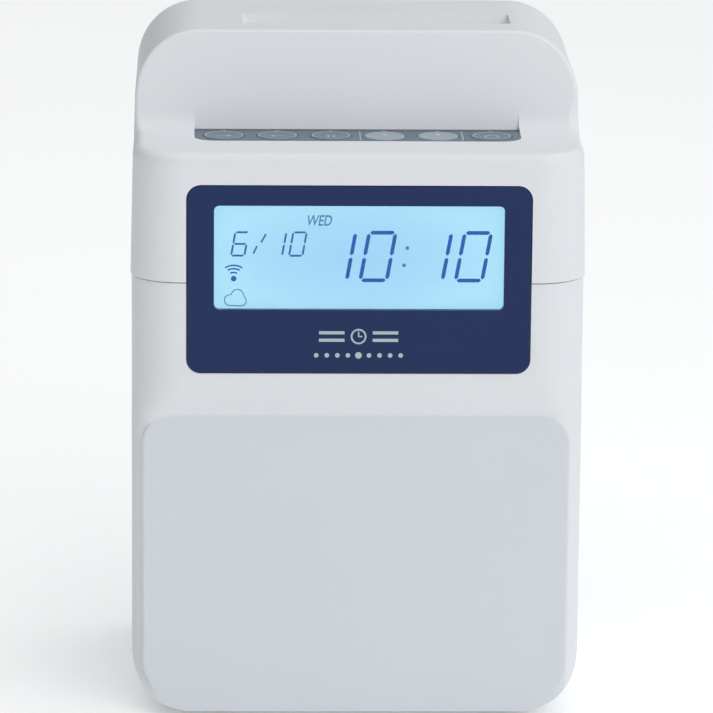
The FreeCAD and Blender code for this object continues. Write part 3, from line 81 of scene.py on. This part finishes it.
class Look:
    """A material under construction: its shader, and a few shared ways to feed it."""

    def __init__(self, name, **sockets):
        self.material = bpy.data.materials.new(name)
        self.material.use_nodes = True
        self.tree = self.material.node_tree
        self.shader = self.tree.nodes["Principled BSDF"]
        self.coords = self.add("ShaderNodeTexCoord").outputs["Object"]
        for socket, value in sockets.items():
            self.shader.inputs[socket.replace("_", " ")].default_value = value

    @classmethod
    def of(cls, material):
        """The same kind of helper, on a material that is already made."""
        look = cls.__new__(cls)
        look.material, look.tree = material, material.node_tree
        look.shader = look.tree.nodes["Principled BSDF"]
        look.coords = next(n for n in look.tree.nodes if n.type == "TEX_COORD").outputs["Object"]
        return look

    def add(self, kind, **values):
        node = self.tree.nodes.new(kind)
        for key, value in values.items():
            setattr(node, key, value)
        return node

    def link(self, output, target):
        self.tree.links.new(output, target)

    def stretched(self, scale):
        node = self.add("ShaderNodeMapping")
        node.inputs["Scale"].default_value = scale
        self.link(self.coords, node.inputs["Vector"])
        return node.outputs["Vector"]

    def noise(self, scale, detail=2.0, vector=None, rough=0.5):
        node = self.add("ShaderNodeTexNoise")
        node.inputs["Scale"].default_value = scale
        node.inputs["Detail"].default_value = detail
        node.inputs["Roughness"].default_value = rough
        self.link(vector or self.coords, node.inputs["Vector"])
        return node.outputs["Fac"]

    def ramp(self, value, stops):
        node = self.add("ShaderNodeValToRGB")
        while len(node.color_ramp.elements) < len(stops):
            node.color_ramp.elements.new(0.5)
        for element, (position, colour) in zip(node.color_ramp.elements, stops):
            element.position = position
            element.color = colour
        self.link(value, node.inputs["Fac"])
        return node.outputs["Color"]

    def ranged(self, value, low, high):
        node = self.add("ShaderNodeMapRange")
        node.inputs["To Min"].default_value = low
        node.inputs["To Max"].default_value = high
        self.link(value, node.inputs["Value"])
        return node.outputs["Result"]

    def math(self, operation, first, second):
        node = self.add("ShaderNodeMath", operation=operation)
        for socket, value in zip(node.inputs, (first, second)):
            if isinstance(value, (int, float)):
                socket.default_value = value
            else:
                self.link(value, socket)
        return node.outputs["Value"]

    def bump(self, height, strength, distance, under=None):
        node = self.add("ShaderNodeBump")
        node.inputs["Strength"].default_value = strength
        node.inputs["Distance"].default_value = distance
        self.link(height, node.inputs["Height"])
        if under:
            self.link(under, node.inputs["Normal"])
        return node.outputs["Normal"]

    def paint(self, colour=None, rough=None, normal=None, emission=None):
        for output, socket in ((colour, "Base Color"), (rough, "Roughness"), (normal, "Normal"),
                               (emission, "Emission Color")):
            if output is not None:
                self.link(output, self.shader.inputs[socket])
        return self.material


def moulded(name, colour, rough=0.45, grain=0.00002, size=0.00045, drift=0.012, gloss=0.5):
    """Injection-moulded plastic: a spark-eroded grain, slow colour drift and faint flow marks."""
    look = Look(name, Specular_IOR_Level=gloss)
    slow = look.noise(11.0, 3.0)
    tint = look.ramp(slow, [(0.3, scaled(colour, 1 - drift)), (0.7, scaled(colour, 1 + drift))])
    haze = look.noise(90.0, 4.0, rough=0.6)
    fine = look.bump(look.noise(1.0 / size, 2.0), 0.35, grain)
    flow = look.bump(look.noise(28.0, 1.0), 0.05, 0.0004, fine)
    return look.paint(tint, look.ranged(haze, rough - 0.05, rough + 0.06), flow)


def brushed(name, colour, rough=0.32, along=(6.0, 900.0, 900.0)):
    """Drawn or ground metal, with fine lines that run along the axis of the smallest scale."""
    look = Look(name, Metallic=1.0)
    lines = look.noise(1.0, 3.0, look.stretched(along))
    spots = look.noise(40.0, 3.0)
    tint = look.ramp(spots, [(0.25, scaled(colour, 0.88)), (0.75, scaled(colour, 1.06))])
    return look.paint(tint, look.ranged(lines, rough - 0.1, rough + 0.14), look.bump(lines, 0.25, 0.00002))


def rubbery(name, colour):
    """Matt rubber, a little dusty."""
    look = Look(name, Specular_IOR_Level=0.35)
    speck = look.noise(1800.0, 3.0)
    dust = look.noise(70.0, 4.0)
    tint = look.ramp(dust, [(0.35, colour), (0.8, scaled(colour, 1.25))])
    return look.paint(tint, look.ranged(dust, 0.68, 0.86), look.bump(speck, 0.5, 0.00004))


def circuit(name):
    """Solder mask over copper: tracks and pads show lighter, and stand a little proud."""
    look = Look(name, Coat_Weight=0.25, Coat_Roughness=0.2)
    split = look.add("ShaderNodeSeparateXYZ")
    flat = look.add("ShaderNodeCombineXYZ")
    look.link(look.coords, split.inputs["Vector"])
    look.link(split.outputs["X"], flat.inputs["X"])
    look.link(look.math("ADD", split.outputs["Y"], split.outputs["Z"]), flat.inputs["Y"])
    brick = look.add("ShaderNodeTexBrick", offset=0.37, offset_frequency=3, squash=0.55, squash_frequency=2)
    for socket, value in (("Scale", 95.0), ("Mortar Size", 0.022), ("Mortar Smooth", 0.0)):
        brick.inputs[socket].default_value = value
    look.link(flat.outputs["Vector"], brick.inputs["Vector"])
    pads = look.add("ShaderNodeTexVoronoi")
    pads.inputs["Scale"].default_value = 420.0
    look.link(flat.outputs["Vector"], pads.inputs["Vector"])
    zones = look.math("GREATER_THAN", look.noise(75.0, 0.0, flat.outputs["Vector"]), 0.46)
    tracks = look.math("MULTIPLY", brick.outputs["Fac"], zones)
    vias = look.math("LESS_THAN", pads.outputs["Distance"], 0.16)
    copper = look.math("MAXIMUM", tracks, look.math("MULTIPLY", vias, 0.75))
    tint = look.ramp(copper, [(0.1, shade(12, 74, 42)), (0.7, shade(46, 128, 74)), (1.0, shade(60, 140, 84))])
    return look.paint(tint, look.ranged(look.noise(120.0), 0.28, 0.42), look.bump(copper, 0.4, 0.00004))


def display_face(name):
    """The lit display: palest along its edges, where the light comes in, and a little deeper inside."""
    look = Look(name, Roughness=0.5, Emission_Strength=LCD_GLOW)
    low, high = (Vector(c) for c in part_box("lcd_panel"))
    middle, half = (low + high) / 2, (high - low) / 2
    split = look.add("ShaderNodeSeparateXYZ")
    look.link(look.coords, split.inputs["Vector"])
    across = look.math("DIVIDE", look.math("SUBTRACT", split.outputs["X"], middle.x), half.x)
    up = look.math("DIVIDE", look.math("SUBTRACT", split.outputs["Z"], middle.z), half.z)
    radius = look.math("ADD", look.math("MULTIPLY", across, across), look.math("MULTIPLY", up, up))
    cloudy = look.math("ADD", radius, look.math("MULTIPLY", look.noise(18.0, 1.0), 0.25))
    tint = look.ramp(cloudy, [(0.1, LCD_MIDDLE), (1.2, LCD_EDGE)])
    dim = look.ramp(cloudy, [(0.1, scaled(LCD_MIDDLE, LCD_UNLIT)), (1.2, scaled(LCD_EDGE, LCD_UNLIT))])
    return look.paint(dim, None, look.bump(look.noise(2600.0, 1.0), 0.1, 0.00001), tint)


def clear(name, tint, alpha):
    """A clear window that is nearly all see-through, with faint smears."""
    look = Look(name, Alpha=alpha, IOR=1.49, Specular_IOR_Level=0.3)
    smear = look.noise(24.0, 3.0)
    colour = look.ramp(smear, [(0.3, tint), (0.7, scaled(tint, 1.05))])
    return look.paint(colour, look.ranged(smear, 0.04, 0.1))


def woven(name, colour):
    """Fine nylon ribbon: a plain weave with ink that has worn lighter along the print line."""
    look = Look(name, Sheen_Weight=0.3)
    warp = look.add("ShaderNodeTexWave", wave_type="BANDS", bands_direction="X")
    weft = look.add("ShaderNodeTexWave", wave_type="BANDS", bands_direction="Z")
    for wave in (warp, weft):
        wave.inputs["Scale"].default_value = 900.0
        look.link(look.coords, wave.inputs["Vector"])
    weave = look.math("MAXIMUM", warp.outputs["Fac"], weft.outputs["Fac"])
    tint = look.ramp(look.noise(55.0), [(0.3, colour), (0.75, scaled(colour, 1.9))])
    return look.paint(tint, look.ranged(weave, 0.6, 0.8), look.bump(weave, 0.5, 0.00003))


def printed(name, colour, rough=0.5):
    """Screen-printed ink: flat, with a fine grain at its edge of cover."""
    look = Look(name, Specular_IOR_Level=0.25)
    cover = look.noise(1500.0, 2.0)
    tint = look.ramp(cover, [(0.25, scaled(colour, 0.94)), (0.6, colour)])
    return look.paint(tint, look.ranged(cover, rough - 0.06, rough + 0.06))


def overpaint(look, mask, tint):
    """Multiplies the colour by a tint where the mask is 1."""
    mix = look.add("ShaderNodeMixRGB", blend_type="MULTIPLY")
    mix.inputs["Color2"].default_value = tint
    socket = look.shader.inputs["Base Color"]
    look.link(socket.links[0].from_socket, mix.inputs["Color1"])
    look.link(mask, mix.inputs["Fac"])
    look.link(mix.outputs["Color"], socket)
    return look.material


def faded(look, value, start, stop):
    """0 before start and 1 after stop, with a soft step between; stop may be the lower of the two."""
    step = look.add("ShaderNodeMapRange", interpolation_type="SMOOTHSTEP")
    step.inputs["From Min"].default_value = start
    step.inputs["From Max"].default_value = stop
    look.link(value, step.inputs["Value"])
    return step.outputs["Result"]


# The case's flat panel is a part of its mesh, so its outline is given here, in metres, for the shade painted
# on its face.
PANEL_HALF_WIDTH, PANEL_TOP, PANEL_CORNER = 0.0734, 0.1084, 0.0105
PANEL_FADE_START, PANEL_FADE_STOP = 0.0002, -0.0014     # from the panel's outline, inwards
FRONT_REACH = 0.012                                     # the tint stays this near the case's front


def case_plastic_with_painted_shade(name, colour):
    """The case plastic, with painted shade on the flat lower panel: its colour is made darker there, where
    the panel takes less light than the face above it, and a thin rim along the panel's edge is left lighter.
    """
    look = Look.of(moulded(name, colour))
    split = look.add("ShaderNodeSeparateXYZ")
    look.link(look.coords, split.inputs["Vector"])
    across = look.math("SUBTRACT", look.math("ABSOLUTE", split.outputs["X"], 0.0),
                       PANEL_HALF_WIDTH - PANEL_CORNER)
    up = look.math("SUBTRACT", split.outputs["Z"], PANEL_TOP - PANEL_CORNER)
    outside = [look.math("MAXIMUM", value, 0.0) for value in (across, up)]
    squares = [look.math("MULTIPLY", value, value) for value in outside]
    distance = look.math("SUBTRACT", look.math("SQRT", look.math("ADD", *squares), 0.0), PANEL_CORNER)
    front_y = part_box("lower_case")[0][1]
    front = look.math("LESS_THAN", split.outputs["Y"], front_y + FRONT_REACH)
    # Painted shade: the panel's colour is multiplied darker just inside its outline, near the case's front.
    inside = faded(look, distance, PANEL_FADE_START, PANEL_FADE_STOP)
    return overpaint(look, look.math("MULTIPLY", inside, front), PANEL_PAINTED_SHADE)


# The key film's painted shadow darkens towards its rear edge over these distances, in metres.
SHADOW_FADE_START, SHADOW_FADE_STOP = 0.0048, 0.003         # from the film's rear edge, forwards


def film(name, colour):
    """The key strip's film, with a painted shadow: its colour is darker along its rear edge, under the
    cover's head.
    """
    look = Look.of(moulded(name, colour, 0.42, size=0.0003, drift=0.02))
    split = look.add("ShaderNodeSeparateXYZ")
    look.link(look.coords, split.inputs["Vector"])
    rear_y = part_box("key_sheet")[1][1]
    painted_shadow = faded(look, split.outputs["Y"], rear_y - SHADOW_FADE_START, rear_y - SHADOW_FADE_STOP)
    return overpaint(look, painted_shadow, FILM_PAINTED_SHADOW)


LOOKS = {
    "case_plastic": case_plastic_with_painted_shade("case_plastic", CASE),
    "cover_plastic": moulded("cover_plastic", CASE, 0.46),
    "bezel_plastic": moulded("bezel_plastic", shade(24, 44, 88), 0.34, grain=0.000004, drift=0.05,
                             gloss=0.22),
    "lens": clear("lens", shade(190, 215, 235), 0.03),
    "lcd_glass": display_face("lcd_glass"),
    "key_sheet": film("key_sheet", shade(87, 105, 121)),
    "key_white": moulded("key_white", shade(104, 118, 134), 0.4, size=0.0003, drift=0.02),
    "key_grey": moulded("key_grey", shade(150, 161, 170), 0.42, size=0.0003, drift=0.015),
    "rubber": rubbery("rubber", shade(112, 114, 118)),
    "rubber_black": rubbery("rubber_black", shade(34, 34, 36)),
    "steel": brushed("steel", shade(196, 198, 202)),
    "zinc": brushed("zinc", shade(168, 170, 174), 0.28, (300.0, 300.0, 300.0)),
    "zinc_steel": brushed("zinc_steel", shade(186, 190, 196), 0.38, (500.0, 20.0, 40.0)),
    "jack_steel": brushed("jack_steel", shade(200, 202, 206), 0.28),
    "brass": brushed("brass", shade(206, 170, 96), 0.3, (500.0, 500.0, 500.0)),
    "head_aluminium": brushed("head_aluminium", shade(82, 84, 90), 0.42, (600.0, 60.0, 600.0)),
    "circuit_board": circuit("circuit_board"),
    "chip_plastic": moulded("chip_plastic", shade(40, 40, 43), 0.5, size=0.0002),
    "black_plastic": moulded("black_plastic", shade(36, 37, 40), 0.48),
    "dark_plastic": moulded("dark_plastic", shade(70, 74, 80), 0.5),
    "white_plastic": moulded("white_plastic", shade(226, 226, 220), 0.4),
    "knob_plastic": moulded("knob_plastic", shade(58, 110, 176), 0.4),
    "ribbon_fabric": woven("ribbon_fabric", shade(34, 26, 58)),
    "battery_sleeve": moulded("battery_sleeve", shade(52, 106, 160), 0.3, grain=0.000005),
}
LCD_INK = printed("lcd_ink", shade(0, 84, 178), 0.5)
LCD_FINE_INK = printed("lcd_fine_ink", shade(30, 98, 172), 0.5)
LCD_PALE_INK = printed("lcd_pale_ink", shade(74, 134, 186), 0.5)
WHITE_INK = printed("white_ink", shade(206, 212, 216))
LIGHT_INK = printed("light_ink", shade(178, 189, 199))
SILVER_INK = printed("silver_ink", shade(176, 190, 196), 0.38)

for part in frame["record"]["subparts"]:
    mesh = frame["nodes"][part["node"]].data
    mesh.materials.clear()
    mesh.materials.append(LOOKS[part["material_slot"]])


# ---- flat printed shapes ---------------------------------------------------------------------
def piece(name, mesh, material, body):
    """Puts a mesh in the scene, on its body, with the given material."""
    mesh.materials.append(material)
    item = bpy.data.objects.new(name, mesh)
    bpy.context.scene.collection.objects.link(item)
    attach(item, body)
    return item


def flat_mesh(name, outlines, place, thick):
    """Closed prisms on convex outlines of (u, v) in mm; place(u, v, w) puts a point in space."""
    form = bmesh.new()
    for outline in outlines:
        low = [form.verts.new(place(u, v, 0.0)) for u, v in outline]
        high = [form.verts.new(place(u, v, thick)) for u, v in outline]
        form.faces.new(high)
        form.faces.new(list(reversed(low)))
        count = len(outline)
        for i in range(count):
            j = (i + 1) % count
            form.faces.new((low[i], low[j], high[j], high[i]))
    bmesh.ops.recalc_face_normals(form, faces=form.faces)
    mesh = bpy.data.meshes.new(name)
    form.to_mesh(mesh)
    form.free()
    return mesh


def arc(u, v, radius, start, stop, count):
    """Points on an arc, angles in degrees."""
    turns = [math.radians(start + (stop - start) * i / count) for i in range(count + 1)]
    return [(u + radius * math.cos(t), v + radius * math.sin(t)) for t in turns]


def stroke(points, width, closed=False):
    """A line of even width through the points, as one quad for each run."""
    count = len(points)
    sides = []
    for i, (u, v) in enumerate(points):
        before = points[i - 1] if i or closed else points[i]
        after = points[(i + 1) % count] if i < count - 1 or closed else points[i]
        along = Vector((after[0] - before[0], after[1] - before[1])).normalized()
        off = Vector((-along.y, along.x)) * width / 2
        sides.append(((u + off.x, v + off.y), (u - off.x, v - off.y)))
    runs = range(count if closed else count - 1)
    return [[sides[i][0], sides[(i + 1) % count][0], sides[(i + 1) % count][1], sides[i][1]] for i in runs]


def disc(u, v, radius, count):
    """Points round a whole circle."""
    return arc(u, v, radius, 0, 360 - 360 / count, count - 1)


# ---- display ---------------------------------------------------------------------------------
LCD_LOW, LCD_HIGH = (Vector(corner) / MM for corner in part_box("lcd_panel"))
LCD_CENTRE = (LCD_LOW + LCD_HIGH) / 2
SLANT = math.tan(math.radians(10))
INK_THICK, INK_LIFT = 0.03, 0.02


def on_display(u, v, w):
    """A point u to the right of the display's middle, v above it and w in front of its face, in mm."""
    return Vector((LCD_CENTRE.x + u, LCD_LOW.y - INK_LIFT - w, LCD_CENTRE.z + v)) * MM


SEGMENTS = {
    "0": "abcdef", "1": "bc", "2": "abged", "3": "abgcd", "4": "fgbc", "5": "afgcd",
    "6": "afgedc", "7": "abc", "8": "abcdefg", "9": "abcdfg",
}


def segment_digit(digit, left, base, width, height, thick):
    """A leaning seven-segment digit as bevelled bars."""
    half, gap = thick / 2, thick * 0.25
    middle, right = height / 2, width

    def level(v):
        start, stop = half + gap, right - half - gap
        return [(start, v), (start + half, v + half), (stop - half, v + half), (stop, v),
                (stop - half, v - half), (start + half, v - half)]

    def upright(u, low, high):
        return [(u, low + gap), (u + half, low + half + gap), (u + half, high - half - gap), (u, high - gap),
                (u - half, high - half - gap), (u - half, low + half + gap)]

    bars = {
        "a": level(height - half), "g": level(middle), "d": level(half),
        "b": upright(right - half, middle, height - half), "c": upright(right - half, half, middle),
        "e": upright(half, half, middle), "f": upright(half, middle, height - half),
    }
    return [[(left + u + v * SLANT, base + v) for u, v in bars[s]] for s in SEGMENTS[digit]]


def display_piece(name, outlines, ink):
    """Marks that lie on the display's face and stay with the housing."""
    piece(name, flat_mesh(name, outlines, on_display, INK_THICK), ink, "housing")


def digits_from(text, lefts, base, width, height, thick):
    """A row of digits, each with its own left edge."""
    return [bar for digit, left in zip(text, lefts)
            for bar in segment_digit(digit, left, base, width, height, thick)]


def display_print():
    """The time, the date, the day and two small status signs."""
    time = digits_from("1010", (-13.9, -0.3, 18.7, 32.2), base=-9.0, width=10.3, height=17.9, thick=1.32)
    display_piece("display_time", time, LCD_INK)
    display_piece("display_colon", [disc(16.4, 2.9, 0.66, 20), disc(15.35, -3.1, 0.66, 20)], LCD_PALE_INK)

    date = digits_from("610", (-43.9, -31.1, -24.2), base=-0.2, width=5.2, height=8.8, thick=0.68)
    for dash in ([(-35.95, 0.85), (-34.7, 3.45)], [(-33.3, 4.75), (-31.7, 7.65)]):
        date += stroke(dash, 0.6)
    display_piece("display_date", date, LCD_FINE_INK)

    letters("display_day", "WED", (-18.2, -9.6), (10.55, 14.25), LCD_PALE_INK)

    mast_x, mast_z = -42.6, -8.35
    signal = [disc(mast_x, mast_z + 0.45, 0.95, 24)]
    for radius, spread in ((2.6, 26), (3.9, 31), (5.1, 35)):
        signal += stroke(arc(mast_x, mast_z, radius, 90 - spread, 90 + spread, 14), 0.52)
    display_piece("display_signal", signal, LCD_INK)

    lobes = arc(-43.8, -15.4, 1.9, 270, 115, 16) + arc(-41.3, -13.7, 2.05, 172, 20, 18)
    lobes += arc(-40.1, -15.6, 1.8, 50, -90, 16)
    display_piece("display_cloud", stroke(lobes, 0.34, closed=True), LCD_PALE_INK)


def letters(name, words, across, up, ink):
    """Plain slanted lettering on the display, fitted between two widths and two heights in mm."""
    curve = bpy.data.curves.new(name, "FONT")
    curve.body = words
    curve.extrude = 0.5
    curve.offset = 0.012
    curve.resolution_u = 4
    holder = bpy.data.objects.new(name, curve)
    bpy.context.scene.collection.objects.link(holder)
    bpy.context.view_layer.update()
    mesh = bpy.data.meshes.new_from_object(holder.evaluated_get(bpy.context.evaluated_depsgraph_get()))
    bpy.data.objects.remove(holder)
    low = [min(v.co[i] for v in mesh.vertices) for i in range(3)]
    high = [max(v.co[i] for v in mesh.vertices) for i in range(3)]
    for vertex in mesh.vertices:
        u, v, w = ((vertex.co[i] - low[i]) / (high[i] - low[i]) for i in range(3))
        rise = v * (up[1] - up[0])
        vertex.co = on_display(across[0] + u * (across[1] - across[0]) + rise * SLANT, up[0] + rise,
                               w * INK_THICK)
    mesh.materials.clear()
    piece(name, mesh, ink, "housing")


display_print()


# ---- bezel marking: a plain clock face between bars, and a row of dots under it ----------------
BEZEL_LOW, BEZEL_HIGH = (Vector(corner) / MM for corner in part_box("display_bezel"))
BEZEL_INK_THICK = 0.01


def on_bezel(u, v, w):
    """A point u to the right of the bezel's middle, v above its lower edge and w in front of it, in mm."""
    return Vector(((BEZEL_LOW.x + BEZEL_HIGH.x) / 2 + u, BEZEL_LOW.y - w, BEZEL_LOW.z + v)) * MM


def bezel_marking():
    """A clock face with its two hands, a pair of bars on each side, and nine dots below."""
    centre, radius, dots_v = 12.9, 2.7, 6.3
    marks = stroke(disc(0, centre, radius - 0.3, 40), 0.6, closed=True)
    marks += stroke([(0, centre - 0.22), (0, centre + 1.7)], 0.45)
    marks += stroke([(0, centre), (1.3, centre)], 0.45)
    for side in (-1, 1):
        for level in (1.3, -1.3):
            marks += stroke([(side * 4.8, centre + level), (side * 13.5, centre + level)], 1.1)
    for place in range(-4, 5):
        marks.append(disc(place * 3.6, dots_v, 1.15 if place == 0 else 0.8, 24))
    mesh = flat_mesh("bezel_marks", marks, on_bezel, BEZEL_INK_THICK)
    piece("bezel_marks", mesh, SILVER_INK, "housing")


bezel_marking()


# ---- key strip printing ----------------------------------------------------------------------
SHEET_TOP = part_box("key_sheet")[1][2] / MM
PALE_KEYS = (4, 5)
DISH_RADIUS, DISH_BOTTOM = 60.0, -0.05       # each key's hollow top, from the film's face
RING_RADIUS, RING_WIDTH = 6.36, 0.36
STRIP_INK_THICK, STRIP_INK_LIFT, KEY_INK_LIFT = 0.02, 0.005, 0.02


def key_centre(number):
    """The middle of a key in plan, in mm."""
    low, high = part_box(f"key_button_{number}")
    return (low[0] + high[0]) / 2 / MM, (low[1] + high[1]) / 2 / MM


KEY_CENTRES = [key_centre(number) for number in range(1, 7)]


def on_sheet(u, v, w):
    """A point of the strip's plan, w above its film, in mm."""
    return Vector((u, v, SHEET_TOP + STRIP_INK_LIFT + w)) * MM


def strip_printing():
    """A small triangle behind each key, and a line at each end of the pale pair."""
    lines = [[(x - 0.8, y + 8.3), (x + 0.8, y + 8.3), (x, y + 9.5)] for x, y in KEY_CENTRES]
    group_left, group_right = KEY_CENTRES[3][0] - 8.4, KEY_CENTRES[4][0] + 8.4
    y = KEY_CENTRES[0][1]
    for x, inward in ((group_left, 1), (group_right, -1)):
        bend = [(x + inward * 0.9, y - 7.2), (x + inward * 0.3, y - 6.6), (x, y - 5.6), (x, y + 8.2)]
        lines += stroke(bend, 0.36)
    mesh = flat_mesh("strip_printing", lines, on_sheet, STRIP_INK_THICK)
    piece("strip_printing", mesh, LIGHT_INK, "cover")


strip_printing()


def arrow(x, y, way):
    """A short arrow across a key, to the right for 1 and to the left for -1."""
    shaft = stroke([(x - way * 2.6, y), (x + way * 1.2, y)], 0.6)
    return shaft + [[(x + way, y - way * 1.3), (x + way * 2.8, y), (x + way, y + way * 1.3)]]


def key_mark(number, x, y):
    """What is printed on a key: a plain ring and sign, or only a small triangle on the two pale keys."""
    signs = {
        1: arrow(x, y, 1),
        2: arrow(x, y, -1),
        3: [bar for side in (-1, 1) for bar in stroke([(x + side, y - 1.6), (x + side, y + 1.6)], 0.7)],
        4: [[(x - 1.1, y + 1.6), (x + 1.1, y + 1.6), (x, y + 3.4)]],
        5: [[(x + 1.1, y + 3.4), (x - 1.1, y + 3.4), (x, y + 1.6)]],
        6: stroke(disc(x, y, 2.3, 30), 0.6, closed=True),
    }
    ring = [] if number in PALE_KEYS else stroke(disc(x, y, RING_RADIUS, 64), RING_WIDTH, closed=True)
    return signs[number] + ring


def key_printing():
    """Each key's mark, laid on the key's hollow top."""
    for number, (x, y) in enumerate(KEY_CENTRES, 1):
        def on_key(u, v, w, x=x, y=y):
            reach = math.hypot(u - x, v - y)
            dish = DISH_BOTTOM + DISH_RADIUS - math.sqrt(DISH_RADIUS ** 2 - reach ** 2)
            return Vector((u, v, SHEET_TOP + dish + KEY_INK_LIFT + w)) * MM

        name = f"key_mark_{number}"
        mesh = flat_mesh(name, key_mark(number, x, y), on_key, STRIP_INK_THICK)
        ink, slot = (WHITE_INK, "key_grey") if number in PALE_KEYS else (LIGHT_INK, "key_white")
        piece(name, mesh, ink, f"key_{number}")


key_printing()


# ---- floor, light and camera -----------------------------------------------------------------
def floor():
    """A plain pale floor, a hair under the feet."""
    look = Look("floor", Roughness=0.9, Specular_IOR_Level=0.1, Emission_Strength=0.17)
    speck = look.noise(3.0, 2.0)
    tint = look.ramp(speck, [(0.3, (0.95, 0.95, 0.95, 1)), (0.7, (0.97, 0.97, 0.97, 1))])
    look.paint(tint, emission=tint)
    form = bmesh.new()
    bmesh.ops.create_grid(form, x_segments=1, y_segments=1, size=9.0)
    mesh = bpy.data.meshes.new("floor")
    form.to_mesh(mesh)
    form.free()
    mesh.materials.append(look.material)
    ground = bpy.data.objects.new("floor", mesh)
    ground.location.z = -0.0002
    bpy.context.scene.collection.objects.link(ground)


def lamp(name, place, aim, side, power):
    """A square soft light that faces a point."""
    data = bpy.data.lights.new(name, "AREA")
    data.size = side
    data.energy = power
    item = bpy.data.objects.new(name, data)
    item.location = place
    item.rotation_euler = (Vector(aim) - Vector(place)).to_track_quat("-Z", "Y").to_euler()
    bpy.context.scene.collection.objects.link(item)


def world():
    """Soft surroundings, brighter on the right and overhead than on the left."""
    surroundings = bpy.data.worlds.new("studio")
    surroundings.use_nodes = True
    tree = surroundings.node_tree
    coords = tree.nodes.new("ShaderNodeTexCoord")
    split = tree.nodes.new("ShaderNodeSeparateXYZ")
    ramp = tree.nodes.new("ShaderNodeMapRange")
    ramp.inputs["From Min"].default_value = -1.0
    ramp.inputs["To Min"].default_value = 0.04
    ramp.inputs["To Max"].default_value = 0.74
    background = tree.nodes["Background"]
    background.inputs["Color"].default_value = (0.96, 0.98, 1.0, 1.0)
    tree.links.new(coords.outputs["Generated"], split.inputs["Vector"])
    tree.links.new(split.outputs["X"], ramp.inputs["Value"])
    tree.links.new(ramp.outputs["Result"], background.inputs["Strength"])
    bpy.context.scene.world = surroundings
    bpy.context.scene.view_settings.view_transform = "Standard"


def camera():
    """Looks down at the front from a little to its left, with a long lens."""
    pitch, turn, roll = (math.radians(a) for a in (13.75, 1.55, 0.5))
    data = bpy.data.cameras.new("camera")
    data.lens = 268.0
    data.sensor_width = 36.0
    data.clip_start, data.clip_end = 0.05, 50.0
    item = bpy.data.objects.new("camera", data)
    item.location = (-0.0482, -1.817, 0.5599)
    aim = Euler((math.radians(90) - pitch, 0.0, -turn)).to_matrix()
    item.rotation_euler = (aim @ Matrix.Rotation(roll, 3, "Z")).to_euler()
    bpy.context.scene.collection.objects.link(item)
    bpy.context.scene.camera = item


floor()
world()
lamp("overhead", (0.0, -0.2, 3.0), (0, 0, 0.1), 5.0, 72.0)
lamp("key_right", (1.5, -1.9, 1.3), (0, 0, 0.12), 1.0, 6.0)
lamp("front", (0.9, -3.0, 1.5), (0, 0, 0.12), 1.6, 13.5)
camera()
